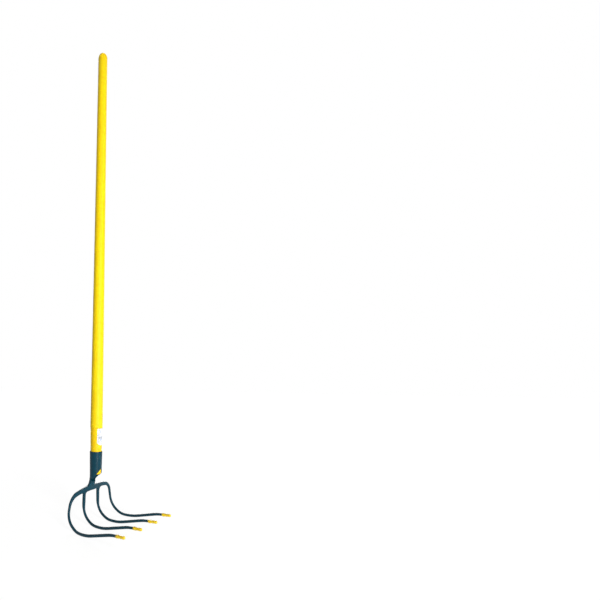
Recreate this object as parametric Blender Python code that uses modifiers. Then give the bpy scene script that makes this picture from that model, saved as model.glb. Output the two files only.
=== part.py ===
"""Claw cultivator: a forged head with four tines on a long handle of wood, glass fibre and plastic.

Metres. +Z runs up along the handle and +X is the way the tine points face. The origin is on the
handle's axis at the middle of its visible length, where a hand holds it. Depths are measured
downwards from the socket's rim and rises upwards from it.
"""

import math
from collections import namedtuple

import bmesh
import bpy
from mathutils import Matrix, Vector

# Fits
CLEARANCE = 0.0003
MERGE = 0.00001

# Handle
HANDLE_RISE = 1.500
HANDLE_END_DEPTH = 0.063
RING_SEAM_RISE = 0.067
RING_SEAM_CHAMFER = 0.0005
SHEATH_LOW_DIAMETER = 0.0379
SHEATH_TOP_DIAMETER = 0.0358
END_SLEEVE_LENGTH = 0.163
END_SLEEVE_DIAMETER = 0.0360
END_DOME_LENGTH = 0.024
END_DOME_WALL = 0.014
SLEEVE_TOP_DIAMETER = 0.0375
SLEEVE_RIM_DIAMETER = 0.0341
SLEEVE_END_DIAMETER = 0.0308
SLEEVE_END_ROUND = 0.0018
SLEEVE_FLOOR = 0.003
CORE_DIAMETER = 0.0230
FIBRE_WALL = 0.0016
HANDLE_STEPS = 40

# Socket and neck
SOCKET_WALL = 0.0020
SOCKET_RIM_ROUND = 0.0012
SEAM_SLIT = 0.0008
SEAM_TURN = math.radians(10)
MOUTH_APEX_DEPTH = 0.0485
MOUTH_FOOT_DEPTH = 0.0895
LEFT_LIP_KNEE_DEPTH = 0.0640
LEFT_LIP_KNEE_OPENING = 0.38
LEFT_LIP_LOW_DEPTH = 0.0772
LEFT_LIP_LOW_OPENING = 0.60
RIGHT_LIP_KNEE_DEPTH = 0.0620
RIGHT_LIP_KNEE_OPENING = 0.265
RIGHT_LIP_LOW_DEPTH = 0.0715
RIGHT_LIP_LOW_OPENING = 0.62
FLATTEN_START_DEPTH = 0.0690
FLATTEN_END_DEPTH = 0.0880
TROUGH_MIDDLE_DEPTH = 0.0800
TROUGH_SIDE_DEPTH = 0.0750
TROUGH_SLOPE_LENGTH = 0.0090
NECK_WIDTH = 0.0200
NECK_BACK = -0.0190
NECK_FRONT = -0.0080
NECK_SQUARENESS = 6.0
NECK_SETBACK_START_RISE = 0.0180
NECK_SETBACK_END_RISE = 0.0055
NECK_OVERLAP = 0.0010
LEFT_FILLET_WIDTH = 0.0085
LEFT_FILLET_HEIGHT = 0.0160
RIGHT_FILLET_WIDTH = 0.0035
RIGHT_FILLET_HEIGHT = 0.0045
SOCKET_COLUMNS = 28
LIP_STEPS = 7
NECK_STEPS = 18

# Yoke: both halves start on the middle plane and run out to the outer tines.
# An arm's bend and shoulder are a distance from that plane and a drop below the yoke's middle line.
YOKE_MIDDLE_DEPTH = 0.1030
YOKE_MIDDLE_X = -0.0162
YOKE_MIDDLE_HEIGHT = 0.0148
YOKE_LEVEL_REACH = 0.0080
YOKE_ROOT_HEIGHT = 0.0152
YOKE_ROOT_REACH = 0.0250
YOKE_FLAT_CUT = 0.0001
YOKE_FLAT_HALF_LENGTH = 0.0500
YOKE_FLAT_HEIGHT = 0.0300
YOKE_FLAT_THICKNESS = 0.0100
YOKE_SQUARENESS = 6.0
LEFT_ARM_BEND = (0.0460, 0.0052)
LEFT_ARM_HEIGHT = 0.0116
LEFT_SHOULDER = (0.0815, 0.0135)
LEFT_SHOULDER_RADIUS = 0.036
RIGHT_ARM_BEND = (0.0460, -0.0007)
RIGHT_ARM_HEIGHT = 0.0105
RIGHT_SHOULDER = (0.0792, 0.0020)
RIGHT_SHOULDER_RADIUS = 0.025
ARM_BEND_RADIUS = 0.080
ARM_START_RADIUS = 0.040
ARM_SQUARENESS = 5.0
SHOULDER_START = 0.018
SHOULDER_START_SQUARENESS = 3.5
SHOULDER_PAST = 0.004
SHOULDER_PAST_SQUARENESS = 2.6
SHOULDER_PAST_DIAMETER = 0.0084
SHOULDER_END = 0.022

# Tines
TINE_DIAMETER = 0.0075
TINE_MOUTH_DIAMETER = 0.0067
TINE_POINT_DIAMETER = 0.0034
TINE_END_DIAMETER = 0.0020
TINE_END_LENGTH = 0.0012
TINE_TAPER_LENGTH = 0.0300
TINE_X = -0.0174
SOLE_DEPTH = 0.1890
HEEL_CORNER_DEPTH = 0.1686
SOLE_CORNER_X = 0.0179
RISE_CORNER_X = 0.0580
RISE_ANGLE = math.radians(15.3)
TIP_CORNER_X = 0.1500
TIP_ANGLE = math.radians(6.0)
HEEL_RADIUS = 0.040
SOLE_RADIUS = 0.054
RISE_RADIUS = 0.170
TIP_RADIUS = 0.150
INNER_ROOT_Y = 0.0290
INNER_HEEL_Y = 0.0305
INNER_SOLE_Y = 0.0318
INNER_RISE_Y = 0.0330
INNER_TIP_CORNER_Y = 0.0332
INNER_TIP_Y = 0.0341
INNER_ROOT_WIDTH = 0.0086
INNER_ROOT_SQUARENESS = 10.0
INNER_SQUARE_END_DEPTH = 0.1340
INNER_LEG_STEP = 0.0040
INNER_ROUND_DEPTH = 0.1560
ROOT_SMALL_FILLET = 0.0024
LEFT_ROOT_FILLET_WIDTH = 0.0090
LEFT_ROOT_FILLET_HEIGHT = 0.0080
RIGHT_ROOT_FILLET_WIDTH = 0.0120
RIGHT_ROOT_FILLET_HEIGHT = 0.0120
OUTER_HEEL_Y = 0.0925
OUTER_SOLE_Y = 0.0962
OUTER_RISE_Y = 0.1010
OUTER_TIP_CORNER_Y = 0.1014
OUTER_TIP_Y = 0.1027
SECTION_SIDES = 20
BEND_STEP = math.radians(7.5)
ROUND = 2.0

# Tip caps
CAP_MOUTH_X = 0.1672
CAP_LENGTH = 0.0274
CAP_MOUTH_DIAMETER = 0.0083
CAP_BULGE_DIAMETER = 0.0087
CAP_BULGE_POSITION = 0.0034
CAP_WAIST_DIAMETER = 0.0074
CAP_WAIST_POSITION = 0.0110
CAP_END_DIAMETER = 0.0073
CAP_END_WALL = 0.0045
CAP_STEPS = 24

# Fixing nail
NAIL_DEPTH = 0.0580
NAIL_ANGLE = math.radians(-43)
NAIL_HEAD_DIAMETER = 0.0052
NAIL_HEAD_HEIGHT = 0.0013
NAIL_BRIM = 0.0003
NAIL_SHANK_DIAMETER = 0.0026
NAIL_LENGTH = 0.022
NAIL_POINT_LENGTH = 0.004
NAIL_POINT_PLAY = 0.001
NAIL_BORE_LENGTH = 0.040
NAIL_SIDES = 16

# Seam weld
WELD_TOP_DEPTH = 0.0015
WELD_LENGTH = 0.0120
WELD_WIDTH = 0.0032
WELD_HEIGHT = 0.0011
WELD_RIPPLES = 4
WELD_DIP = 0.78
WELD_TIP = 0.35

# Label
LABEL_TOP_RISE = 0.0658
LABEL_BOTTOM_RISE = 0.0185
LABEL_WIDTH = 0.0247
LABEL_CORNER = 0.0105
LABEL_THICKNESS = 0.0004
LABEL_ANGLE = math.radians(-1)

RIM_Z = -HANDLE_RISE / 2
NECK_END_DEPTH = YOKE_MIDDLE_DEPTH + NECK_OVERLAP
YOKE_BACK = TINE_X - TINE_DIAMETER / 2
YOKE_FRONT = 2 * YOKE_MIDDLE_X - YOKE_BACK
FIBRE_INNER_RADIUS = CORE_DIAMETER / 2 + CLEARANCE
FIBRE_OUTER_RADIUS = FIBRE_INNER_RADIUS + FIBRE_WALL
SHEATH_BORE_RADIUS = FIBRE_OUTER_RADIUS + CLEARANCE

Arm = namedtuple("Arm", "side bend height shoulder shoulder_radius fillet_width fillet_height")
LEFT_ARM = Arm(
    side=-1,
    bend=(LEFT_ARM_BEND[0], YOKE_MIDDLE_DEPTH + LEFT_ARM_BEND[1]),
    height=LEFT_ARM_HEIGHT,
    shoulder=(LEFT_SHOULDER[0], YOKE_MIDDLE_DEPTH + LEFT_SHOULDER[1]),
    shoulder_radius=LEFT_SHOULDER_RADIUS,
    fillet_width=LEFT_ROOT_FILLET_WIDTH,
    fillet_height=LEFT_ROOT_FILLET_HEIGHT,
)
RIGHT_ARM = Arm(
    side=1,
    bend=(RIGHT_ARM_BEND[0], YOKE_MIDDLE_DEPTH + RIGHT_ARM_BEND[1]),
    height=RIGHT_ARM_HEIGHT,
    shoulder=(RIGHT_SHOULDER[0], YOKE_MIDDLE_DEPTH + RIGHT_SHOULDER[1]),
    shoulder_radius=RIGHT_SHOULDER_RADIUS,
    fillet_width=RIGHT_ROOT_FILLET_WIDTH,
    fillet_height=RIGHT_ROOT_FILLET_HEIGHT,
)


def clear_scene():
    for thing in list(bpy.data.objects):
        bpy.data.objects.remove(thing, do_unlink=True)


def collection(name):
    made = bpy.data.collections.new(name)
    bpy.context.scene.collection.children.link(made)
    return made


def material(name, colour, metallic, roughness):
    made = bpy.data.materials.new(name)
    made.use_nodes = True
    shader = made.node_tree.nodes["Principled BSDF"]
    shader.inputs["Base Color"].default_value = (*colour, 1.0)
    shader.inputs["Metallic"].default_value = metallic
    shader.inputs["Roughness"].default_value = roughness
    made.diffuse_color = (*colour, 1.0)
    return made


def add_object(name, mesh, home):
    made = bpy.data.objects.new(name, mesh)
    home.objects.link(made)
    return made


def smooth(mesh, sharp_angle):
    for face in mesh.polygons:
        face.use_smooth = True
    mesh.set_sharp_from_angle(angle=math.radians(sharp_angle))


def finished_mesh(thing):
    """Mesh of an object with its modifiers applied, in world coordinates."""
    depsgraph = bpy.context.evaluated_depsgraph_get()
    mesh = bpy.data.meshes.new_from_object(thing.evaluated_get(depsgraph))
    mesh.transform(thing.matrix_world)
    return mesh


def face_outward(mesh):
    work = bmesh.new()
    work.from_mesh(mesh)
    bmesh.ops.remove_doubles(work, verts=work.verts, dist=MERGE)
    bmesh.ops.recalc_face_normals(work, faces=work.faces)
    if work.calc_volume(signed=True) < 0:
        bmesh.ops.reverse_faces(work, faces=work.faces)
    work.to_mesh(mesh)
    work.free()


def join(target, others):
    """Merge the others into the target, which keeps its name."""
    boolean(target, others, "UNION")
    for other in others:
        bpy.data.objects.remove(other, do_unlink=True)


def boolean(target, others, operation):
    for other in others:
        step = target.modifiers.new("step", "BOOLEAN")
        step.operation = operation
        step.solver = "EXACT"
        step.object = other
    bpy.context.view_layer.update()
    mesh = finished_mesh(target)
    target.modifiers.clear()
    target.data = mesh
    face_outward(mesh)


def as_cutter(thing):
    thing.hide_render = True
    thing.display_type = "WIRE"
    return thing


def turned(name, profile, closed, steps, home):
    """A solid of revolution about Z from a profile of (radius, height) points."""
    mesh = bpy.data.meshes.new(name)
    edges = [(i, i + 1) for i in range(len(profile) - 1)]
    if closed:
        edges.append((len(profile) - 1, 0))
    mesh.from_pydata([(radius, 0.0, height) for radius, height in profile], edges, [])
    made = add_object(name, mesh, home)
    screw = made.modifiers.new("turn", "SCREW")
    screw.steps = steps
    screw.render_steps = steps
    screw.use_merge_vertices = True
    screw.merge_threshold = MERGE
    bpy.context.view_layer.update()
    turned_mesh = finished_mesh(made)
    made.modifiers.clear()
    made.data = turned_mesh
    face_outward(turned_mesh)
    return made


def rounded_path(corners, radii):
    """Points along straight runs between corners, each inner corner bent to its radius."""
    points = [corners[0].copy()]
    for i in range(1, len(corners) - 1):
        before = (corners[i - 1] - corners[i]).normalized()
        after = (corners[i + 1] - corners[i]).normalized()
        turn = math.pi - before.angle(after)
        radius = radii[i - 1]
        reach = radius * math.tan(turn / 2)
        middle = (before + after).normalized()
        centre = corners[i] + middle * (radius / math.cos(turn / 2))
        start = corners[i] + before * reach - centre
        axis = start.cross(corners[i] + after * reach - centre).normalized()
        count = max(2, math.ceil(turn / BEND_STEP))
        for k in range(count + 1):
            points.append(centre + Matrix.Rotation(turn * k / count, 3, axis) @ start)
    points.append(corners[-1].copy())
    return points


def lengths_along(points):
    total = [0.0]
    for a, b in zip(points, points[1:]):
        total.append(total[-1] + (b - a).length)
    return total


def between(value, stations):
    """Linear reading of stations, each a position and its numbers."""
    if value <= stations[0][0]:
        return stations[0][1:]
    for low, high in zip(stations, stations[1:]):
        if value <= high[0]:
            part = (value - low[0]) / (high[0] - low[0])
            return tuple(a + (b - a) * part for a, b in zip(low[1:], high[1:]))
    return stations[-1][1:]


def ring_point(angle, half_a, half_b, power):
    """Point of a rounded square of the given half sizes; power 2 is an ellipse."""
    c = math.cos(angle)
    s = math.sin(angle)
    scale = (abs(c) ** power + abs(s) ** power) ** (-1.0 / power)
    return half_a * c * scale, half_b * s * scale


def loft(name, rings, home, strip_caps=False):
    """A closed body through rings of the same number of points."""
    count = len(rings[0])
    points = [tuple(p) for ring in rings for p in ring]
    faces = []
    for r in range(len(rings) - 1):
        for i in range(count):
            j = (i + 1) % count
            faces.append((r * count + i, r * count + j, (r + 1) * count + j, (r + 1) * count + i))
    for first in (0, (len(rings) - 1) * count):
        if strip_caps:
            for i in range(count // 2 - 1):
                faces.append((first + i, first + i + 1, first + count - 2 - i, first + count - 1 - i))
        else:
            faces.append(tuple(range(first, first + count)))
    mesh = bpy.data.meshes.new(name)
    mesh.from_pydata(points, [], faces)
    face_outward(mesh)
    return add_object(name, mesh, home)


def bar_rings(points, stations):
    """Sections of a bar along the points, which starts square to X.

    A station is a distance, two half sizes, a squareness and the section's shift along its second side.
    """
    along = lengths_along(points)
    side = Vector((1, 0, 0))
    tangent = (points[1] - points[0]).normalized()
    rings = []
    for i, point in enumerate(points):
        ahead = points[min(i + 1, len(points) - 1)] - point
        behind = point - points[max(i - 1, 0)]
        new_tangent = (ahead.normalized() + behind.normalized()).normalized()
        side = tangent.rotation_difference(new_tangent) @ side
        side = (side - new_tangent * side.dot(new_tangent)).normalized()
        tangent = new_tangent
        up = tangent.cross(side)
        half_side, half_up, power, shift = between(along[i], stations)
        ring = []
        for k in range(SECTION_SIDES):
            a, b = ring_point(2 * math.pi * (k + 0.5) / SECTION_SIDES, half_side, half_up, power)
            ring.append(point + side * a + up * (b + shift))
        rings.append(ring)
    return rings


def at_depth(x, y, depth):
    return Vector((x, y, RIM_Z - depth))


def sleeve_radius(depth):
    """Outside of the tapered lower sleeve at a depth below the rim (negative above it)."""
    if depth < 0:
        part = -depth / RING_SEAM_RISE
        return (SLEEVE_RIM_DIAMETER + (SLEEVE_TOP_DIAMETER - SLEEVE_RIM_DIAMETER) * part) / 2
    part = min(1.0, depth / HANDLE_END_DEPTH)
    return (SLEEVE_RIM_DIAMETER + (SLEEVE_END_DIAMETER - SLEEVE_RIM_DIAMETER) * part) / 2


def socket_outer_radius(depth):
    return sleeve_radius(depth) + CLEARANCE + SOCKET_WALL


def eased(value, low, high):
    part = min(1.0, max(0.0, (value - low) / (high - low)))
    return part * part * (3 - 2 * part)


def fillet_growth(distance, width, height):
    """How far a fillet stands out at a distance before the face that it runs into."""
    gone = 1 - min(1.0, max(0.0, distance / height))
    return width * (1 - math.sqrt(1 - gone * gone))


def yoke_edge_depth(arm, reach, edge):
    """Depth of the yoke's top (edge -1) or underside (edge 1) at a distance from the middle plane."""
    line = [(YOKE_LEVEL_REACH, YOKE_MIDDLE_DEPTH), arm.bend]
    centre = between(reach, line)[0]
    heights = [(0.0, YOKE_MIDDLE_HEIGHT), (YOKE_ROOT_REACH, YOKE_ROOT_HEIGHT), (arm.bend[0], arm.height)]
    return centre + edge * between(reach, heights)[0] / 2


def lip_opening(depth, knee, low):
    """Share of the way from the seam to the neck's side that a lip has opened at a depth."""
    return between(depth, [(MOUTH_APEX_DEPTH, 0.0), knee, low, (MOUTH_FOOT_DEPTH, 1.0)])[0]


def neck_side(arm, depth, width, height):
    """Distance of the neck's side from the middle plane, with its fillet into the yoke's top."""
    foot = yoke_edge_depth(arm, NECK_WIDTH / 2 + width, -1) + CLEARANCE
    return NECK_WIDTH / 2 + fillet_growth(foot - depth, width, height)


def socket_ring(depth):
    """Section of socket, trough and neck: outer side from lip to lip, then the inner side back."""
    outer_radius = socket_outer_radius(depth)
    rounding = 0.0
    if depth < SOCKET_RIM_ROUND:
        gone = 1 - depth / SOCKET_RIM_ROUND
        rounding = SOCKET_RIM_ROUND * (1 - math.sqrt(1 - gone * gone))
    closed_half = math.pi - SEAM_SLIT / 2 / outer_radius
    foot_half = math.asin(NECK_WIDTH / 2 / outer_radius)
    left_knee = (LEFT_LIP_KNEE_DEPTH, LEFT_LIP_KNEE_OPENING)
    left_opening = lip_opening(depth, left_knee, (LEFT_LIP_LOW_DEPTH, LEFT_LIP_LOW_OPENING))
    right_knee = (RIGHT_LIP_KNEE_DEPTH, RIGHT_LIP_KNEE_OPENING)
    right_opening = lip_opening(depth, right_knee, (RIGHT_LIP_LOW_DEPTH, RIGHT_LIP_LOW_OPENING))
    flat = eased(depth, FLATTEN_START_DEPTH, FLATTEN_END_DEPTH)
    turn = SEAM_TURN * (1 - flat)
    setback_start = YOKE_MIDDLE_DEPTH - NECK_SETBACK_START_RISE
    setback = eased(depth, setback_start, YOKE_MIDDLE_DEPTH - NECK_SETBACK_END_RISE)
    front = NECK_FRONT + (YOKE_FRONT - CLEARANCE / 2 - NECK_FRONT) * setback
    back = NECK_BACK + (YOKE_BACK + 2 * CLEARANCE - NECK_BACK) * setback
    left = neck_side(LEFT_ARM, depth, LEFT_FILLET_WIDTH, LEFT_FILLET_HEIGHT)
    right = neck_side(RIGHT_ARM, depth, RIGHT_FILLET_WIDTH, RIGHT_FILLET_HEIGHT)
    middle_x = (front + back) / 2
    middle_y = (right - left) / 2
    half_x = (front - back) / 2
    half_y = (right + left) / 2
    corner = math.atan2(NECK_WIDTH, NECK_FRONT - NECK_BACK)
    outer = []
    inner = []
    for k in range(SOCKET_COLUMNS + 1):
        t = 2 * k / SOCKET_COLUMNS - 1
        opening = left_opening if t > 0 else right_opening
        half = closed_half + (foot_half - closed_half) * opening
        angle = math.pi + turn + half * t
        bar_x, bar_y = ring_point(math.pi + (math.pi - corner) * t, half_x, half_y, NECK_SQUARENESS)
        bar = Vector((middle_x + bar_x, middle_y + bar_y))
        arc = Vector((math.cos(angle), math.sin(angle)))
        skin = arc * outer_radius * (1 - flat) + bar * flat
        outer.append(skin - skin.normalized() * rounding)
        front_x, front_y = ring_point(-corner * t, half_x, half_y, NECK_SQUARENESS)
        face = Vector((middle_x + front_x, middle_y + front_y))
        hollow = skin - skin.normalized() * SOCKET_WALL
        trough_depth = TROUGH_MIDDLE_DEPTH + (TROUGH_SIDE_DEPTH - TROUGH_MIDDLE_DEPTH) * t * t
        filled = eased(depth, trough_depth, trough_depth + TROUGH_SLOPE_LENGTH)
        inner.append(hollow * (1 - filled) + face * filled)
    return [at_depth(p.x, p.y, depth) for p in outer + inner[::-1]]


def socket_and_neck(home):
    depths = [0.0, SOCKET_RIM_ROUND / 4, SOCKET_RIM_ROUND, MOUTH_APEX_DEPTH / 3, MOUTH_APEX_DEPTH * 2 / 3]
    lips = FLATTEN_START_DEPTH - MOUTH_APEX_DEPTH
    depths += [MOUTH_APEX_DEPTH + lips * i / LIP_STEPS for i in range(LIP_STEPS)]
    neck = NECK_END_DEPTH - FLATTEN_START_DEPTH
    depths += [FLATTEN_START_DEPTH + neck * i / NECK_STEPS for i in range(NECK_STEPS + 1)]
    return loft("claw_forging", [socket_ring(depth) for depth in depths], home, strip_caps=True)


def tine_corners(side, heel_y, sole_y, rise_y, tip_corner_y, tip_y):
    """Corners of a tine's centre line from the heel to the point."""
    corner_x = (SOLE_CORNER_X, RISE_CORNER_X, TIP_CORNER_X)
    tip_x = CAP_MOUTH_X + (CAP_LENGTH - CAP_END_WALL - CLEARANCE) * math.cos(TIP_ANGLE)
    tip_corner_depth = SOLE_DEPTH - (corner_x[2] - corner_x[1]) * math.tan(RISE_ANGLE)
    tip_depth = tip_corner_depth - (tip_x - corner_x[2]) * math.tan(TIP_ANGLE)
    return [
        at_depth(TINE_X, side * heel_y, HEEL_CORNER_DEPTH),
        at_depth(corner_x[0], side * sole_y, SOLE_DEPTH),
        at_depth(corner_x[1], side * rise_y, SOLE_DEPTH),
        at_depth(corner_x[2], side * tip_corner_y, tip_corner_depth),
        at_depth(tip_x, side * tip_y, tip_depth),
    ]


def inner_corners(side):
    return tine_corners(side, INNER_HEEL_Y, INNER_SOLE_Y, INNER_RISE_Y, INNER_TIP_CORNER_Y, INNER_TIP_Y)


def outer_corners(side):
    return tine_corners(side, OUTER_HEEL_Y, OUTER_SOLE_Y, OUTER_RISE_Y, OUTER_TIP_CORNER_Y, OUTER_TIP_Y)


TINE_RADII = [HEEL_RADIUS, SOLE_RADIUS, RISE_RADIUS, TIP_RADIUS]


def cap_frame(corners):
    """Middle of the cap's mouth on the tine's last straight, and the way that the straight points."""
    direction = (corners[-1] - corners[-2]).normalized()
    mouth = corners[-2] + direction * ((CAP_MOUTH_X - corners[-2].x) / direction.x)
    return mouth, direction


def tip_stations(total, tip_length):
    """Round bar that narrows to the cap's mouth and then to its point."""
    round_half = TINE_DIAMETER / 2
    mouth_half = TINE_MOUTH_DIAMETER / 2
    point_half = TINE_POINT_DIAMETER / 2
    end_half = TINE_END_DIAMETER / 2
    return [
        (total - tip_length - TINE_TAPER_LENGTH, round_half, round_half, ROUND, 0.0),
        (total - tip_length, mouth_half, mouth_half, ROUND, 0.0),
        (total - TINE_END_LENGTH, point_half, point_half, ROUND, 0.0),
        (total, end_half, end_half, ROUND, 0.0),
    ]


def with_tip_points(points, tip_length):
    """Adds the ring at the cap's mouth and the one just before the rounded point."""
    end = points[-1]
    back = (points[-2] - end).normalized()
    return points[:-1] + [end + back * tip_length, end + back * TINE_END_LENGTH, end]


def inner_tine(arm, home):
    """Middle tine with its square root, whose fillet is small on the left and large on the right."""
    corners = inner_corners(arm.side)
    root_half = INNER_ROOT_WIDTH / 2
    root_y = arm.side * INNER_ROOT_Y
    slope = (corners[0].y - root_y) / (HEEL_CORNER_DEPTH - YOKE_MIDDLE_DEPTH)
    left_foot = yoke_edge_depth(arm, abs(root_y - root_half - ROOT_SMALL_FILLET), 1) - CLEARANCE
    right_foot = yoke_edge_depth(arm, abs(root_y + root_half + arm.fillet_width), 1) - CLEARANCE
    down = [YOKE_MIDDLE_DEPTH]
    for part in (0.0, 0.08, 0.25, 0.5, 0.75, 1.0):
        down.append(left_foot + ROOT_SMALL_FILLET * part)
        down.append(right_foot + arm.fillet_height * part)
    down.sort()
    down += [INNER_SQUARE_END_DEPTH + INNER_LEG_STEP * i for i in range(3)]
    leg = [at_depth(TINE_X, root_y + slope * (depth - YOKE_MIDDLE_DEPTH), depth) for depth in down]
    bend = rounded_path([leg[-1]] + corners, TINE_RADII)[1:]
    mouth, direction = cap_frame(corners)
    tip_length = (corners[-1] - mouth).length
    points = with_tip_points(leg + bend, tip_length)
    along = lengths_along(points)
    round_half = TINE_DIAMETER / 2
    root = (round_half - 2 * YOKE_FLAT_CUT, root_half, INNER_ROOT_SQUARENESS)
    shape = [(INNER_SQUARE_END_DEPTH, *root), (INNER_ROUND_DEPTH, round_half, round_half, ROUND)]
    stations = []
    for i, depth in enumerate(down):
        left = fillet_growth(depth - left_foot, ROOT_SMALL_FILLET, ROOT_SMALL_FILLET)
        right = fillet_growth(depth - right_foot, arm.fillet_width, arm.fillet_height)
        thick, wide, square = between(depth, shape)
        stations.append((along[i], thick, wide + (left + right) / 2, square, (left - right) / 2))
    to_round = INNER_ROUND_DEPTH - down[-1]
    stations.append((along[len(down) - 1] + to_round, round_half, round_half, ROUND, 0.0))
    stations += tip_stations(along[-1], tip_length)
    return loft("inner_tine", bar_rings(points, stations), home)


def yoke_half_rings(arm):
    """Half of the yoke from the middle plane, which turns down at the shoulder as an outer tine."""
    corners = outer_corners(arm.side)
    start = at_depth(YOKE_MIDDLE_X, 0.0, YOKE_MIDDLE_DEPTH)
    level = at_depth(YOKE_MIDDLE_X, arm.side * YOKE_LEVEL_REACH, YOKE_MIDDLE_DEPTH)
    bend = at_depth(TINE_X, arm.side * arm.bend[0], arm.bend[1])
    turn = at_depth(TINE_X, arm.side * arm.shoulder[0], arm.shoulder[1])
    radii = [ARM_START_RADIUS, ARM_BEND_RADIUS, arm.shoulder_radius] + TINE_RADII
    points = rounded_path([start, level, bend, turn] + corners, radii)
    root = level + (bend - level) * (YOKE_ROOT_REACH - YOKE_LEVEL_REACH) / (arm.bend[0] - YOKE_LEVEL_REACH)
    mouth, direction = cap_frame(corners)
    tip_length = (corners[-1] - mouth).length
    points = with_tip_points(points, tip_length)
    total = lengths_along(points)[-1]
    to_root = YOKE_LEVEL_REACH + (root - level).length
    to_bend = YOKE_LEVEL_REACH + (bend - level).length
    to_turn = to_bend + (turn - bend).length
    round_half = TINE_DIAMETER / 2
    stations = [
        (YOKE_LEVEL_REACH, YOKE_MIDDLE_X - YOKE_BACK, YOKE_MIDDLE_HEIGHT / 2, YOKE_SQUARENESS, 0.0),
        (to_root, root.x - YOKE_BACK, YOKE_ROOT_HEIGHT / 2, YOKE_SQUARENESS, 0.0),
        (to_bend, round_half, arm.height / 2, ARM_SQUARENESS, 0.0),
        (to_turn - SHOULDER_START, round_half, arm.height / 2, SHOULDER_START_SQUARENESS, 0.0),
        (to_turn + SHOULDER_PAST, round_half, SHOULDER_PAST_DIAMETER / 2, SHOULDER_PAST_SQUARENESS, 0.0),
        (to_turn + SHOULDER_END, round_half, round_half, ROUND, 0.0),
    ]
    stations += tip_stations(total, tip_length)
    return bar_rings(points, stations)


def yoke_and_outer_tines(home):
    left = [ring[::-1] for ring in yoke_half_rings(LEFT_ARM)]
    return loft("yoke_and_outer_tines", left[:0:-1] + yoke_half_rings(RIGHT_ARM), home)


def yoke_flat(home):
    """Block that takes a thin shaving off the yoke's back, so that the back is truly flat."""
    mesh = bpy.data.meshes.new("yoke_flat")
    work = bmesh.new()
    bmesh.ops.create_cube(work, size=1.0)
    size = (YOKE_FLAT_THICKNESS, 2 * YOKE_FLAT_HALF_LENGTH, YOKE_FLAT_HEIGHT)
    bmesh.ops.scale(work, vec=size, verts=work.verts)
    work.to_mesh(mesh)
    work.free()
    plane = YOKE_BACK + YOKE_FLAT_CUT
    mesh.transform(Matrix.Translation(at_depth(plane - YOKE_FLAT_THICKNESS / 2, 0, YOKE_MIDDLE_DEPTH)))
    return add_object("yoke_flat", mesh, home)


def radial_matrix(angle, depth):
    """Frame on the handle's axis whose Z points outwards at the given angle."""
    outward = Vector((math.cos(angle), math.sin(angle), 0))
    turn = Vector((0, 0, 1)).rotation_difference(outward).to_matrix().to_4x4()
    return Matrix.Translation(at_depth(0, 0, depth)) @ turn


def nail_bore(home):
    radius = NAIL_SHANK_DIAMETER / 2 + CLEARANCE
    mesh = bpy.data.meshes.new("nail_bore")
    work = bmesh.new()
    ends = {"radius1": radius, "radius2": radius}
    bmesh.ops.create_cone(work, cap_ends=True, segments=NAIL_SIDES, depth=NAIL_BORE_LENGTH, **ends)
    work.to_mesh(mesh)
    work.free()
    inner_end = socket_outer_radius(NAIL_DEPTH) + CLEARANCE - NAIL_LENGTH - NAIL_POINT_PLAY
    mesh.transform(Matrix.Translation((0, 0, inner_end + NAIL_BORE_LENGTH / 2)))
    mesh.transform(radial_matrix(NAIL_ANGLE, NAIL_DEPTH))
    return add_object("nail_bore", mesh, home)


def fixing_nail(home):
    seat = socket_outer_radius(NAIL_DEPTH) + CLEARANCE
    shank = NAIL_SHANK_DIAMETER / 2
    head = NAIL_HEAD_DIAMETER / 2
    profile = [(0.0, seat + NAIL_HEAD_HEIGHT)]
    for part in (0.25, 0.5, 0.75, 1.0):
        a = part * math.pi / 2
        crown = (NAIL_HEAD_HEIGHT - NAIL_BRIM) * math.cos(a)
        profile.append((head * math.sin(a), seat + NAIL_BRIM + crown))
    profile += [(head, seat), (shank, seat), (shank, seat - NAIL_LENGTH + NAIL_POINT_LENGTH)]
    profile.append((0.0, seat - NAIL_LENGTH))
    made = turned("socket_fixing_nail", profile, False, NAIL_SIDES, home)
    made.data.transform(radial_matrix(NAIL_ANGLE, NAIL_DEPTH))
    return made


def seam_weld(home):
    """Rippled bead that lies along the rolled seam below the rim."""
    curve = bpy.data.curves.new("socket_seam_weld", "CURVE")
    curve.dimensions = "3D"
    curve.bevel_depth = 1.0
    curve.bevel_resolution = 2
    curve.use_fill_caps = True
    count = WELD_RIPPLES * 2 + 3
    line = curve.splines.new("POLY")
    line.points.add(count - 1)
    for i, point in enumerate(line.points):
        point.co = (i / (count - 1), 0.0, 0.0, 1.0)
        point.radius = 1.0 if i % 2 else WELD_DIP
        if i in (0, count - 1):
            point.radius = WELD_TIP
    temporary = add_object("weld_curve", curve, home)
    bpy.context.view_layer.update()
    mesh = finished_mesh(temporary)
    bpy.data.objects.remove(temporary, do_unlink=True)
    face_outward(mesh)
    outer = socket_outer_radius(WELD_TOP_DEPTH) + CLEARANCE
    mesh.transform(Matrix.Diagonal((-WELD_LENGTH, WELD_WIDTH / 2, WELD_HEIGHT / 2, 1.0)))
    mesh.transform(Matrix.Rotation(math.radians(-90), 4, "Y"))
    for vertex in mesh.vertices:
        drop = -vertex.co.z
        taper = socket_outer_radius(WELD_TOP_DEPTH + max(0.0, drop)) - socket_outer_radius(WELD_TOP_DEPTH)
        side = vertex.co.y
        height = vertex.co.x + WELD_HEIGHT / 2
        radius = outer + taper + height
        angle = SEAM_TURN + side / radius
        vertex.co = at_depth(radius * math.cos(angle), radius * math.sin(angle), WELD_TOP_DEPTH + drop)
    face_outward(mesh)
    return add_object("socket_seam_weld", mesh, home)


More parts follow.
